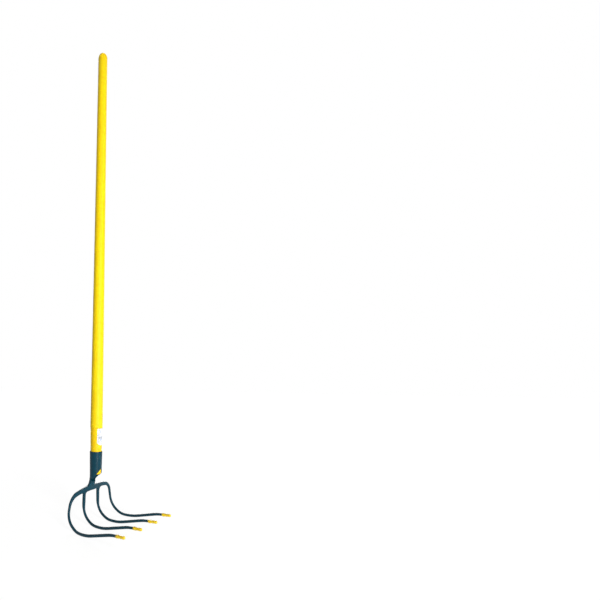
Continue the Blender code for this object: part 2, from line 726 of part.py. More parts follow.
def tip_cap_profile():
    length = CAP_LENGTH
    end = CAP_END_DIAMETER / 2
    profile = [(0.0, length)]
    for part in (0.25, 0.5, 0.75, 1.0):
        a = part * math.pi / 2
        profile.append((end * math.sin(a), length - end * (1 - math.cos(a))))
    for part in (0.0, 0.25, 0.5, 0.75, 1.0):
        radius = CAP_WAIST_DIAMETER / 2 + (CAP_BULGE_DIAMETER - CAP_WAIST_DIAMETER) / 2 * eased(part, 0.0, 1.0)
        profile.append((radius, CAP_WAIST_POSITION + (CAP_BULGE_POSITION - CAP_WAIST_POSITION) * part))
    profile.append(((CAP_BULGE_DIAMETER + CAP_MOUTH_DIAMETER) / 4, CAP_BULGE_POSITION / 4))
    profile.append((CAP_MOUTH_DIAMETER / 2, 0.0))
    profile.append((TINE_MOUTH_DIAMETER / 2 + CLEARANCE, 0.0))
    bottom = length - CAP_END_WALL
    profile.append((TINE_POINT_DIAMETER / 2 + CLEARANCE, bottom - CLEARANCE - TINE_END_LENGTH))
    profile.append((TINE_END_DIAMETER / 2 + CLEARANCE, bottom))
    profile.append((0.0, bottom))
    return profile


def tip_cap(name, corners, mesh, home):
    mouth, direction = cap_frame(corners)
    made = add_object(name, mesh, home)
    turn = Vector((0, 0, 1)).rotation_difference(direction).to_matrix().to_4x4()
    made.matrix_world = Matrix.Translation(mouth) @ turn
    return made


def rise_profile(points):
    return [(radius, RIM_Z + rise) for radius, rise in points]


def handle_pieces(home):
    end_inside = HANDLE_RISE - END_DOME_WALL
    floor = -HANDLE_END_DEPTH + SLEEVE_FLOOR
    bore = SHEATH_BORE_RADIUS
    low = RING_SEAM_RISE - CLEARANCE / 2
    high = RING_SEAM_RISE + CLEARANCE / 2
    end_low = HANDLE_RISE - END_SLEEVE_LENGTH + CLEARANCE / 2
    sheath_high = end_low - CLEARANCE
    edge = RING_SEAM_CHAMFER

    core = [(0.0, end_inside - CLEARANCE), (CORE_DIAMETER / 2, end_inside - CLEARANCE)]
    core += [(CORE_DIAMETER / 2, floor + CLEARANCE), (0.0, floor + CLEARANCE)]
    core = turned("handle_core", rise_profile(core), False, HANDLE_STEPS, home)

    fibre = [(FIBRE_OUTER_RADIUS, end_inside - CLEARANCE), (FIBRE_OUTER_RADIUS, floor + CLEARANCE)]
    fibre += [(FIBRE_INNER_RADIUS, floor + CLEARANCE), (FIBRE_INNER_RADIUS, end_inside - CLEARANCE)]
    fibre = turned("handle_fibre_layer", rise_profile(fibre), True, HANDLE_STEPS, home)

    top = SHEATH_TOP_DIAMETER / 2
    bottom = SHEATH_LOW_DIAMETER / 2
    sheath = [(top - edge, sheath_high), (top, sheath_high - edge), (bottom, high + edge)]
    sheath += [(bottom - edge, high), (bore, high), (bore, sheath_high)]
    sheath = turned("handle_sheath", rise_profile(sheath), True, HANDLE_STEPS, home)

    top = SLEEVE_TOP_DIAMETER / 2
    end = SLEEVE_END_DIAMETER / 2
    sleeve = [(bore, low), (top - edge, low), (top, low - edge), (SLEEVE_RIM_DIAMETER / 2, 0.0)]
    for part in (0.0, 0.5, 1.0):
        a = part * math.pi / 2
        radius = end - SLEEVE_END_ROUND * (1 - math.cos(a))
        sleeve.append((radius, -HANDLE_END_DEPTH + SLEEVE_END_ROUND * (1 - math.sin(a))))
    sleeve += [(0.0, -HANDLE_END_DEPTH), (0.0, floor), (bore, floor)]
    sleeve = turned("handle_lower_sleeve", rise_profile(sleeve), True, HANDLE_STEPS, home)

    radius = END_SLEEVE_DIAMETER / 2
    end_sleeve = [(0.0, end_inside), (0.0, HANDLE_RISE)]
    for part in (0.17, 0.34, 0.5, 0.67, 0.84, 1.0):
        a = part * math.pi / 2
        end_sleeve.append((radius * math.sin(a), HANDLE_RISE - END_DOME_LENGTH * (1 - math.cos(a))))
    end_sleeve += [(radius, end_low + edge), (radius - edge, end_low), (bore, end_low), (bore, end_inside)]
    end_sleeve = turned("handle_end_sleeve", rise_profile(end_sleeve), True, HANDLE_STEPS, home)
    return core, fibre, sheath, sleeve, end_sleeve


def handle_label(home):
    """U-shaped paper label bent round the lower sleeve."""
    columns = 14
    rows = 18
    height = LABEL_TOP_RISE - LABEL_BOTTOM_RISE
    mesh = bpy.data.meshes.new("handle_label")
    work = bmesh.new()
    bmesh.ops.create_grid(work, x_segments=columns, y_segments=rows, size=1.0)
    straight = height - LABEL_CORNER
    for vertex in work.verts:
        part = (1 - vertex.co.y) / 2
        if part <= 0.4:
            fall = straight * part / 0.4
        else:
            a = (part - 0.4) / 0.6 * math.pi / 2 * 0.97
            fall = straight + LABEL_CORNER * math.sin(a)
        half = LABEL_WIDTH / 2
        if fall > straight:
            half = half * math.sqrt(1 - ((fall - straight) / LABEL_CORNER) ** 2)
        rise = LABEL_TOP_RISE - fall
        radius = sleeve_radius(-rise) + CLEARANCE
        angle = LABEL_ANGLE + vertex.co.x * half / radius
        vertex.co = at_depth(radius * math.cos(angle), radius * math.sin(angle), -rise)
    bmesh.ops.recalc_face_normals(work, faces=work.faces)
    middle = min(work.faces, key=lambda face: abs(face.calc_center_median().y))
    if middle.normal.x < 0:
        bmesh.ops.reverse_faces(work, faces=work.faces)
    work.to_mesh(mesh)
    work.free()
    made = add_object("handle_label", mesh, home)
    thicken = made.modifiers.new("thickness", "SOLIDIFY")
    thicken.thickness = LABEL_THICKNESS
    thicken.offset = 1.0
    bpy.context.view_layer.update()
    solid = finished_mesh(made)
    made.modifiers.clear()
    made.data = solid
    face_outward(solid)
    return made


def paint(thing, name, colour, metallic, roughness):
    thing.data.materials.clear()
    thing.data.materials.append(material(name, colour, metallic, roughness))


def build():
    clear_scene()
    home = collection("claw_cultivator")
    cutters = collection("cutters")

    forging = socket_and_neck(home)
    yoke = yoke_and_outer_tines(home)
    boolean(yoke, [as_cutter(yoke_flat(cutters))], "DIFFERENCE")
    join(forging, [yoke, inner_tine(LEFT_ARM, home), inner_tine(RIGHT_ARM, home)])
    bore = as_cutter(nail_bore(cutters))
    core, fibre, sheath, sleeve, end_sleeve = handle_pieces(home)
    for piece in (forging, core, fibre, sleeve):
        boolean(piece, [bore], "DIFFERENCE")

    nail = fixing_nail(home)
    weld = seam_weld(home)
    label = handle_label(home)
    cap_source = turned("tip_cap_source", tip_cap_profile(), False, CAP_STEPS, home)
    cap_mesh = cap_source.data
    cap_mesh.name = "tip_cap"
    bpy.data.objects.remove(cap_source, do_unlink=True)
    cap_mesh.materials.append(material("cap_plastic", (0.93, 0.80, 0.0), 0.0, 0.35))
    for number, corners in enumerate((outer_corners(-1), inner_corners(-1), inner_corners(1), outer_corners(1))):
        tip_cap("tip_cap_%d" % (number + 1), corners, cap_mesh, home)

    paint(forging, "forging_paint", (0.0, 0.05, 0.08), 0.0, 0.3)
    paint(weld, "weld_paint", (0.01, 0.06, 0.09), 0.0, 0.4)
    paint(nail, "nail_paint", (0.02, 0.07, 0.1), 0.3, 0.4)
    paint(core, "core_wood", (0.55, 0.36, 0.18), 0.0, 0.7)
    paint(fibre, "fibre_resin", (0.75, 0.72, 0.55), 0.0, 0.5)
    paint(sheath, "sheath_plastic", (0.93, 0.80, 0.0), 0.0, 0.4)
    paint(sleeve, "sleeve_plastic", (0.92, 0.76, 0.0), 0.0, 0.4)
    paint(end_sleeve, "end_plastic", (0.93, 0.80, 0.0), 0.0, 0.4)
    paint(label, "label_paper", (0.9, 0.9, 0.92), 0.0, 0.5)
    for piece in home.objects:
        smooth(piece.data, 35)


build()
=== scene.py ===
"""Looks of a long-handled claw cultivator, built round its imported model.

Metres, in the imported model's own frame: +Z runs up along the handle, +X is the way the tine points
face, and the origin is on the handle's axis at the middle of its visible length. Depths are measured
downwards from the socket's rim and rises upwards from it.
"""

import math
from collections import namedtuple

import bmesh
import bpy
from bpy.props import FloatProperty, FloatVectorProperty, IntProperty, PointerProperty
from mathutils import Matrix, Vector, noise


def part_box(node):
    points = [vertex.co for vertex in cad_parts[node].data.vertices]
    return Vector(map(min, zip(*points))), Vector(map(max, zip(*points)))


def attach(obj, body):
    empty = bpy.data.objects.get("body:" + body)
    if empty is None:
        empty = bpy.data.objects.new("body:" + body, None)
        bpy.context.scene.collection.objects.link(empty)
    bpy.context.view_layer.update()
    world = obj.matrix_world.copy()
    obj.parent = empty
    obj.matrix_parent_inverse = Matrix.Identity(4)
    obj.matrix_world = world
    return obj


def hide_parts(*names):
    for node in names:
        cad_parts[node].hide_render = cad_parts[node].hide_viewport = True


bl_info = {
    "name": "Claw cultivator",
    "version": (1, 0, 0),
    "blender": (4, 5, 0),
    "location": "3D View > Sidebar > Claw",
    "description": "Builds the finished pieces and the studio of a long-handled claw cultivator",
    "category": "Object",
}

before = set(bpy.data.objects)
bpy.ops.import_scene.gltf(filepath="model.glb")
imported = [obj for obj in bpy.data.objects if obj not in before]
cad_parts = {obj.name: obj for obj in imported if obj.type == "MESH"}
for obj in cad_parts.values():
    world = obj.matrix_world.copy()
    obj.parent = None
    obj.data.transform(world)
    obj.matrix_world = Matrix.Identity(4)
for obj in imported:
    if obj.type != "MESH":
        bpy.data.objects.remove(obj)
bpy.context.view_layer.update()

SLEEVE_LOW, SLEEVE_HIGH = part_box("handle_lower_sleeve")
SHEATH_LOW, SHEATH_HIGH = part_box("handle_sheath")
END_LOW, END_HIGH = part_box("handle_end_sleeve")
HEAD_LOW, HEAD_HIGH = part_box("claw_forging")
RIM_Z = HEAD_HIGH.z
GROUND_Z = HEAD_LOW.z

CLEARANCE = 0.0003
MERGE = 0.00001
ROUND = 2.0  # squareness of a round section

# Handle
HANDLE_END_DEPTH = RIM_Z - SLEEVE_LOW.z
RING_SEAM_RISE = SLEEVE_HIGH.z - RIM_Z
SLEEVE_RIM_DIAMETER = 0.0341
SLEEVE_END_DIAMETER = 0.0308
SLEEVE_END_ROUND = 0.0018
SHEATH_BORE_RADIUS = 0.0137
END_DOME_LENGTH = 0.024
END_DOME_WALL = 0.014
SLEEVE_FLOOR = 0.003
WAVER_LENGTH = 0.06

# Socket and neck
SOCKET_RIM_ROUND = 0.0012
SEAM_SLIT = 0.0008
SEAM_TURN = math.radians(10)
SEAM_FILL_INSET = 0.0004
SEAM_FILL_SINK = 0.0002
LEFT_LIP_KNEE = (0.0640, 0.38)
LEFT_LIP_LOW = (0.0772, 0.60)
RIGHT_LIP_KNEE = (0.0620, 0.265)
RIGHT_LIP_LOW = (0.0715, 0.62)
FLATTEN_START_DEPTH = 0.0690
FLATTEN_END_DEPTH = 0.0880
TROUGH_MIDDLE_DEPTH = 0.0800
TROUGH_SIDE_DEPTH = 0.0750
TROUGH_SLOPE_LENGTH = 0.0090
NECK_BACK = -0.0190
NECK_FRONT = -0.0080
NECK_SQUARENESS = 6.0
NECK_SETBACK_START_DEPTH = 0.0850
NECK_SETBACK_END_DEPTH = 0.0975
LEFT_NECK_FILLET = (0.0085, 0.0160)
RIGHT_NECK_FILLET = (0.0035, 0.0045)
NECK_END_DEPTH = 0.1040

# Yoke
YOKE_MIDDLE_X = -0.0162
YOKE_MIDDLE_HEIGHT = 0.0148
YOKE_LEVEL_REACH = 0.0080
YOKE_ROOT_REACH = 0.0250
YOKE_FLAT_CUT = 0.0001
YOKE_SQUARENESS = 6.0
ARM_BEND_RADIUS = 0.080
ARM_START_RADIUS = 0.040
HAMMER_LUMP = 0.011
SHOULDER_OVAL = 1.12
# Distances along the arm from the turn at its shoulder
ARM_FLAT_END = -0.018
SHOULDER_OVAL_PLACE = 0.004
SHOULDER_ROUND_PLACE = 0.022

# Tines
TINE_X = -0.0174
TINE_END_LENGTH = 0.0012
TINE_TAPER_LENGTH = 0.0300
HEEL_CORNER_DEPTH = 0.1686
SOLE_CORNER_X = 0.0179
RISE_CORNER_X = 0.0580
RISE_ANGLE = math.radians(15.3)
TIP_CORNER_X = 0.1500
TIP_ANGLE = math.radians(6.0)
RISE_RADIUS = 0.170
TIP_RADIUS = 0.150
INNER_ROOT_Y = 0.0290
INNER_LINE_Y = (0.0305, 0.0318, 0.0330, 0.0332, 0.0341)
OUTER_LINE_Y = (0.0925, 0.0962, 0.1010, 0.1014, 0.1027)
INNER_ROOT_WIDTH = 0.0086
INNER_ROOT_SQUARENESS = 10.0
INNER_SQUARE_END_DEPTH = 0.1340
INNER_SQUARE_STEP = 0.002
INNER_ROUND_DEPTH = 0.1560
ROOT_SMALL_FILLET = 0.0024
CAP_MOUTH_X = 0.1672
CAP_END_WALL = 0.0045
CAP_LIP_START = 0.0004
CAP_LIP = ((0.0001, 0.0001), (0.0003, 0.0))  # how far in from the mouth's edge, and along from its plane

# Nail, weld and label
NAIL_RISE = 0.0009
NAIL_BRIM = 0.0003
NAIL_TAPER = 0.004
NAIL_DENT = 0.0002
NAIL_DENT_WIDTH = 0.0016
WELD_TOP_DEPTH = 0.0015
WELD_BEAD_STRETCH = 1.25
LABEL_TURN = math.radians(-1)
LABEL_TOP_CORNER = 0.0012
LABEL_FOOT_SHARE = 0.98  # of the bow's quarter turn, so that the last row doesn't shrink to a point

# Print of the label, in millimetres from its middle line and down from its top edge. A rule has its
# left, right, top and foot, the pitch of its dashes, the share that they fill, and a seed.
LABEL_RULES = (
    (-11.5, 11.2, 3.5, 4.7, 0.7, 0.58, 3.0),
    (-4.2, 3.8, 9.2, 10.6, 0.8, 0.58, 5.0),
    (-5.5, 11.0, 37.1, 38.3, 0.7, 0.56, 21.0),
    (-2.7, 2.0, 44.7, 45.6, 0.6, 0.6, 31.0),
)
TICK_PITCH = 1.4
SQUARE_PITCH = 3.1
DOT_RADIUS = 1.9

# Floor: how far from the tool its shade starts to fade to pure white, and where it has
FLOOR_NEAR = 0.9
FLOOR_FAR = 2.4
FLOOR_NEAR_WHITE = 0.90
FLOOR_HALF = 30.0
FLOOR_GAP = 0.0002

# Lamps: the name of a lamp's power in the studio's settings, its place, what it points at, and its
# width and height
LAMPS = {
    "key_light": ("key_power", (2.2, -0.85, -0.72), (0.0, 0.0, -0.50), (0.5, 0.35)),
    "side_light": ("side_power", (1.0, 1.5, -0.85), (0.0, 0.0, -0.80), (0.2, 0.12)),
    "high_light": ("fill_power", (2.1, -0.85, 0.55), (0.0, 0.0, 0.22), (0.6, 1.2)),
    "back_light": ("back_power", (-1.6, 1.8, 0.1), (0.0, 0.0, -0.1), (0.8, 1.6)),
}

# Camera's own right, and the way from what it sees back to it
CAMERA_RIGHT = (0.75509, 0.65554, 0.00979)
CAMERA_BACK = (0.63841, -0.73179, -0.23857)

# Resolution of the finished meshes
SECTION_SIDES = 40
SOCKET_COLUMNS = 84
NECK_STEPS = 72
ROOT_STEPS = 14
BEND_STEP = math.radians(3)
TURN_STEPS = 96
COVER_STEP = 0.012
LABEL_COLUMNS = 48
LABEL_ROWS = 72

Arm = namedtuple("Arm", "side bend height shoulder shoulder_radius fillet_width fillet_height")
LEFT_ARM = Arm(-1, (0.0460, 0.1082), 0.0116, (0.0815, 0.1165), 0.036, 0.0090, 0.0080)
RIGHT_ARM = Arm(1, (0.0460, 0.1023), 0.0105, (0.0792, 0.1050), 0.025, 0.0120, 0.0120)


def linear(hex_colour):
    """Linear red, green and blue of an sRGB hex colour."""
    parts = [int(hex_colour[i : i + 2], 16) / 255 for i in (1, 3, 5)]
    return tuple(p / 12.92 if p <= 0.04045 else ((p + 0.055) / 1.055) ** 2.4 for p in parts)


def length(name, description, default):
    return FloatProperty(
        name=name, description=description, default=default, unit="LENGTH", precision=4, min=0.0
    )


def watts(name, description, default):
    return FloatProperty(name=name, description=description, default=default, unit="POWER", min=0.0)


def colour(name, description, hex_colour):
    return FloatVectorProperty(
        name=name, description=description, default=linear(hex_colour), subtype="COLOR", min=0.0, max=1.0
    )


class ClawHeadSizes(bpy.types.PropertyGroup):
    """Sizes of the forged head"""

    socket_wall: length("Socket wall", "Thickness of the rolled socket", 0.0020)
    mouth_apex: length("Mouth top", "Depth at which the rolled socket starts to open", 0.0485)
    mouth_foot: length("Mouth foot", "Depth at which the open socket ends in the neck", 0.0895)
    neck_width: length("Neck width", "Width of the neck between socket and yoke", 0.0200)
    yoke_depth: length("Yoke depth", "Depth of the yoke's middle line below the rim", 0.1030)
    yoke_height: length("Yoke height", "Height of the yoke above the middle tines", 0.0152)
    tine_diameter: length("Tine diameter", "Diameter of the round part of a tine", 0.0075)
    tine_mouth: length("Tine at guard", "Diameter of a tine where its guard starts", 0.0067)
    tine_point: length("Tine point", "Diameter just before the rounded point", 0.0034)
    tine_end: length("Tine end", "Diameter of the flat on the point", 0.0020)
    heel_radius: length("Heel radius", "Radius of the bend at the back of a tine", 0.040)
    sole_radius: length("Sole radius", "Radius of the bend onto the ground", 0.054)
    sole_depth: length("Sole depth", "Depth of the tines' lowest centre line", 0.1890)
    blend: length("Forging blend", "Mesh size that melts the forging's bars into one skin", 0.00082)
    soften: IntProperty(name="Softening", description="Smoothing passes over that skin", default=10, min=0)
    uneven: length("Unevenness", "How far the hammered skin stands in and out", 0.00007)


class ClawHandleSizes(bpy.types.PropertyGroup):
    """Sizes of the handle's plastic cover"""

    sheath_low: length("Sheath foot", "Diameter of the long cover at the ring seam", 2 * SHEATH_HIGH.x)
    sheath_top: length("Sheath top", "Diameter of the long cover at the end sleeve", 0.0358)
    sleeve_top: length("Sleeve top", "Diameter of the lower sleeve at the ring seam", 2 * SLEEVE_HIGH.x)
    end_sleeve: length("End sleeve", "Diameter of the end sleeve", 2 * END_HIGH.x)
    seam_chamfer: length("Seam chamfer", "Worn corner on each side of a seam", 0.0005)
    waver: length("Waver", "How far the drawn cover strays from a true cylinder", 0.00006)


class ClawGuardSizes(bpy.types.PropertyGroup):
    """Sizes of the push-on tip guards"""

    span: length("Length", "Length of a guard", 0.0274)
    mouth: length("Mouth", "Diameter at the open end", 0.0083)
    bulge: length("Bulge", "Greatest diameter, just past the mouth", 0.0087)
    bulge_place: length("Bulge place", "Distance of the bulge from the mouth", 0.0034)
    waist: length("Waist", "Diameter of the long part", 0.0074)
    waist_place: length("Waist place", "Distance of the waist from the mouth", 0.0110)
    end: length("End", "Diameter at the closed end", 0.0073)


class ClawFittingSizes(bpy.types.PropertyGroup):
    """Sizes of the nail, the weld and the label"""

    nail_depth: length("Nail depth", "Depth of the nail below the rim", 0.0580)
    nail_angle: FloatProperty(
        name="Nail angle",
        description="Turn of the nail round the handle",
        default=math.radians(-43),
        subtype="ANGLE",
    )
    nail_head: length("Nail head", "Diameter of the nail's head", 0.0052)
    nail_shank: length("Nail shank", "Diameter of the nail's shank", 0.0026)
    nail_length: length("Nail length", "Length of the nail under its head", 0.022)
    weld_length: length("Weld length", "Length of the weld on the seam", 0.0120)
    weld_width: length("Weld width", "Width of the weld's beads", 0.0031)
    weld_height: length("Weld height", "How far the beads stand out", 0.0009)
    weld_pitch: length("Weld pitch", "Distance from bead to bead", 0.0014)
    label_top: length("Label top", "Rise of the label's top edge", 0.0658)
    label_bottom: length("Label bottom", "Rise of the label's lowest point", 0.0185)
    label_width: length("Label width", "Width of the label round the sleeve", 0.0247)
    label_corner: length("Label bow", "Height of the label's rounded foot", 0.0105)
    label_thickness: length("Label thickness", "Thickness of the label with its glue", 0.0004)


class ClawColours(bpy.types.PropertyGroup):
    """Colours of the finishes"""

    paint: colour("Paint", "Teal enamel on the head", "#003a4a")
    paint_thin: colour("Thin paint", "The same enamel where it runs thin on an edge", "#02242e")
    seam: colour("Seam", "The same enamel, in shade in the rolled seam", "#021014")
    cover: colour("Cover", "Yellow plastic of the long cover", "#ffde00")
    cover_deep: colour("Deep cover", "The same plastic in its darker mottles", "#f6c800")
    sleeve: colour("Sleeve", "Yellow plastic of the lower sleeve", "#fbd300")
    guard: colour("Guard", "Yellow plastic of the tip guards", "#ffd800")
    label: colour("Label", "Paper of the label", "#dfe4ee")
    ink: colour("Ink", "Dark ink of the label's squares and panel", "#1c1d20")
    pale_ink: colour("Pale ink", "Grey ink of the label's rules, box and ticks", "#70747e")
    dot_ink: colour("Dot ink", "Blue ink of the label's ring and disc", "#2b6fb4")
    wood: colour("Wood", "Ash of the core", "#c9a878")
    wood_dark: colour("Late wood", "Darker growth rings of the core", "#a57c4c")
    resin: colour("Resin", "Glass fibre in polyester resin", "#d8d2b4")
    floor: colour("Floor", "Pale studio floor, as it lights the tool", "#f4f4f4")
    floor_seen: colour("Seen floor", "The floor as it is seen, under its own white light", "#8c8c8c")


class ClawStage(bpy.types.PropertyGroup):
    """Lights, room and camera of the studio"""

    lens: FloatProperty(name="Lens", description="Focal length of the camera", default=21.25, unit="CAMERA")
    camera_place: FloatVectorProperty(
        name="Camera place",
        description="Where the camera stands",
        default=(0.78793, -0.84890, -0.56055),
        unit="LENGTH",
    )
    side_shift: FloatProperty(name="Side shift", description="Sideways shift of the frame", default=0.3178)
    key_power: watts("Key light", "Power of the low light at the front right", 39.0)
    side_power: watts("Side light", "Power of the small low light beside the last tine", 6.0)
    fill_power: watts("Upper light", "Power of the light on the handle's upper half", 24.0)
    back_power: watts("Back light", "Power of the light behind the tool, opposite the camera", 30.0)
    sky: FloatProperty(name="Room light", description="Strength of the room's own light", default=0.07)
    floor_light: FloatProperty(
        name="Floor light", description="Strength of the lit floor's own light", default=0.22
    )


def add(tree, kind, inputs=(), **settings):
    """A new node with its settings, and with its inputs in order or by name.

    An input is a value, an output, or another node, of which the first output in use is taken.
    """
    node = tree.nodes.new(kind)
    for name, value in settings.items():
        setattr(node, name, value)
    if isinstance(inputs, dict):
        pairs = [(node.inputs[name], value) for name, value in inputs.items()]
    else:
        pairs = zip([socket for socket in node.inputs if socket.enabled], inputs)
    for socket, value in pairs:
        if isinstance(value, bpy.types.Node):
            value = next(output for output in value.outputs if output.enabled)
        if isinstance(value, bpy.types.NodeSocket):
            tree.links.new(value, socket)
        elif socket.type == "RGBA":
            socket.default_value = (*value[:3], 1.0)
        else:
            socket.default_value = value
    return node


def with_nodes(made):
    """A new material or world, and its emptied tree."""
    made.use_nodes = True
    made.node_tree.nodes.clear()
    return made, made.node_tree


def shade(tree, inputs):
    """Ends a material with its shader, whose constants and patterns are given by name."""
    shader = add(tree, "ShaderNodeBsdfPrincipled", inputs)
    add(tree, "ShaderNodeOutputMaterial", (shader,))


def chain(tree, operation, *values):
    """One value from several, each joined to the last by the same operation."""
    result = values[0]
    for value in values[1:]:
        result = add(tree, "ShaderNodeMath", (result, value), operation=operation)
    return result


def inside(tree, *bands):
    """1 where each value lies between its own two limits, or else 0."""
    near = []
    for value, low, high in bands:
        inputs = (value, (low + high) / 2, (high - low) / 2)
        near.append(add(tree, "ShaderNodeMath", inputs, operation="COMPARE"))
    return chain(tree, "MULTIPLY", *near)


def coloured(tree, base, *layers):
    """A colour with others laid over it, each through its own mask."""
    for mask, over in layers:
        base = add(tree, "ShaderNodeMix", (mask, base, over), data_type="RGBA")
    return base


def relief(tree, *layers):
    """Normal of height maps laid over each other, each with its depth in metres and its strength."""
    inputs = {}
    for height, depth, strength in layers:
        inputs.update({"Height": height, "Distance": depth, "Strength": strength})
        inputs["Normal"] = add(tree, "ShaderNodeBump", inputs)
    return inputs["Normal"]


def sees_background(tree):
    """1 for rays that see the white background: the camera's own, mirrored and passed ones, or else 0."""
    rays = add(tree, "ShaderNodeLightPath").outputs
    seeing = [rays["Is Camera Ray"], rays["Is Glossy Ray"], rays["Is Transmission Ray"]]
    return chain(tree, "MAXIMUM", *seeing)


def grain(tree, millimetres, detail=2.0, stretch=(1.0, 1.0, 1.0), roughness=0.5):
    """Noise whose lumps are about as wide as given, on the piece's own coordinates."""
    place = add(tree, "ShaderNodeTexCoord").outputs["Object"]
    scaled = add(tree, "ShaderNodeMapping", {"Vector": place, "Scale": stretch})
    inputs = {"Vector": scaled, "Scale": 1000.0 / millimetres, "Detail": detail, "Roughness": roughness}
    return add(tree, "ShaderNodeTexNoise", inputs)


def seam_line(tree, foot_z):
    """1 on the socket's rolled seam, a line 0.5 mm wide that runs up the front from a height, or else 0."""
    place = add(tree, "ShaderNodeTexCoord").outputs["Object"]
    turned_place = add(tree, "ShaderNodeMapping", {"Vector": place, "Rotation": (0.0, 0.0, -SEAM_TURN)})
    split = add(tree, "ShaderNodeSeparateXYZ", (turned_place,)).outputs
    off = add(tree, "ShaderNodeMath", (split["Y"],), operation="ABSOLUTE")
    line = add(tree, "ShaderNodeMapRange", (off, 0.00015, 0.00045, 1.0, 0.0))
    front = add(tree, "ShaderNodeMapRange", (split["X"], 0.010, 0.011, 0.0, 1.0))
    above = add(tree, "ShaderNodeMapRange", (split["Z"], foot_z - 0.001, foot_z, 0.0, 1.0))
    return chain(tree, "MULTIPLY", line, front, above)


def enamel_on_forged_steel(name, colours, seam_foot=None):
    """Stoved alkyd enamel, dipped over scale-rough forged steel: a soft gloss on a skin that shows the
    hammer's waves, with a fine orange peel, a few nibs of dust and thinner, darker paint on edges.
    On the socket it also fills the rolled seam down to seam_foot, which is darkened there with painted shade
    into a thin dark line."""
    made, tree = with_nodes(bpy.data.materials.new(name))
    waves = grain(tree, 9.0, detail=3.0)
    peel = grain(tree, 1.9)
    scale_pits = grain(tree, 0.6, detail=1.0)
    cloud = add(tree, "ShaderNodeMapRange", (grain(tree, 30.0), 0.35, 0.65, 0.0, 0.35))
    place = add(tree, "ShaderNodeTexCoord").outputs["Object"]
    nibs = add(tree, "ShaderNodeTexVoronoi", {"Vector": place, "Scale": 1000.0 / 4.2}, feature="F1")
    nib_height = add(tree, "ShaderNodeMapRange", (nibs, 0.02, 0.10, 1.0, 0.0))
    edge = add(tree, "ShaderNodeNewGeometry").outputs["Pointiness"]
    thin = add(tree, "ShaderNodeMapRange", (edge, 0.51, 0.60, 0.0, 0.7))
    base = coloured(tree, colours.paint, (cloud, colours.paint_thin), (thin, colours.paint_thin))
    bumps = [(waves, 0.00035, 1.0), (peel, 0.00020, 1.0)]
    bumps += [(scale_pits, 0.00003, 1.0), (nib_height, 0.00008, 1.0)]
    if seam_foot is not None:
        seam = seam_line(tree, seam_foot)
        # Painted shade: the seam's slit is darkened towards the enamel as it looks in shade.
        seam_painted_shade = add(tree, "ShaderNodeMath", (seam, 0.85), operation="MULTIPLY")
        base = coloured(tree, base, (seam_painted_shade, colours.seam))
        sunk = add(tree, "ShaderNodeMath", (seam, -1.0), operation="MULTIPLY")
        bumps.append((sunk, 0.0004, 1.0))
    normal = relief(tree, *bumps)
    shade(
        tree,
        {
            "Metallic": 0.0,
            "IOR": 1.48,
            "Specular IOR Level": 0.16,
            "Coat Weight": 0.06,
            "Coat Roughness": 0.2,
            "Coat IOR": 1.5,
            "Base Color": base,
            "Roughness": add(tree, "ShaderNodeMapRange", (peel, 0.3, 0.7, 0.34, 0.52)),
            "Normal": normal,
            "Coat Normal": normal,
        },
    )
    return made


def drawn_cover_plastic(name, light, deep, line_strength):
    """Polypropylene drawn or moulded over the handle: a satin, slightly waxy yellow with an eggshell
    skin, cloudy mottles of pigment, and faint lines along it where it was drawn through a die."""
    made, tree = with_nodes(bpy.data.materials.new(name))
    mottle = grain(tree, 13.0, detail=4.0, roughness=0.6)
    cloud = grain(tree, 85.0)
    creases = grain(tree, 4.5, detail=4.0, stretch=(1.0, 1.0, 0.6), roughness=0.6)
    peel = grain(tree, 1.6)
    lines = grain(tree, 0.9, stretch=(1.0, 1.0, 0.012))
    mottled = add(tree, "ShaderNodeMapRange", (mottle, 0.38, 0.72, 0.0, 0.65))
    clouded = add(tree, "ShaderNodeMapRange", (cloud, 0.45, 0.75, 0.0, 0.45))
    bumps = [(cloud, 0.0004, 1.0), (creases, 0.00035, 1.0)]
    bumps += [(peel, 0.00010, 1.0), (lines, 0.00006, line_strength)]
    shade(
        tree,
        {
            "Metallic": 0.0,
            "IOR": 1.49,
            "Specular IOR Level": 0.3,
            "Subsurface Weight": 0.05,
            "Subsurface Radius": (0.004, 0.002, 0.0006),
            "Subsurface Scale": 0.5,
            "Base Color": coloured(tree, light, (mottled, deep), (clouded, deep)),
            "Roughness": add(tree, "ShaderNodeMapRange", (mottle, 0.3, 0.7, 0.46, 0.60)),
            "Normal": relief(tree, *bumps),
        },
    )
    return made


def guard_plastic(name, colours):
    """Soft low-density polyethylene, dip-moulded: smooth, waxy and a little see-through, so its thin
    wall glows warm, with a faint flow pattern along it."""
    made, tree = with_nodes(bpy.data.materials.new(name))
    flow = grain(tree, 3.5, detail=3.0, stretch=(0.35, 1.0, 1.0))
    skin = grain(tree, 0.8, detail=1.0)
    streaks = add(tree, "ShaderNodeMapRange", (flow, 0.4, 0.75, 0.0, 0.5))
    shade(
        tree,
        {
            "Metallic": 0.0,
            "IOR": 1.51,
            "Subsurface Weight": 0.12,
            "Subsurface Radius": (0.003, 0.0015, 0.0004),
            "Subsurface Scale": 0.6,
            "Coat Weight": 0.15,
            "Coat Roughness": 0.25,
            "Base Color": coloured(tree, colours.guard, (streaks, colours.cover_deep)),
            "Roughness": add(tree, "ShaderNodeMapRange", (flow, 0.3, 0.7, 0.30, 0.42)),
            "Normal": relief(tree, (flow, 0.00010, 1.0), (skin, 0.00003, 1.0)),
        },
    )
    return made


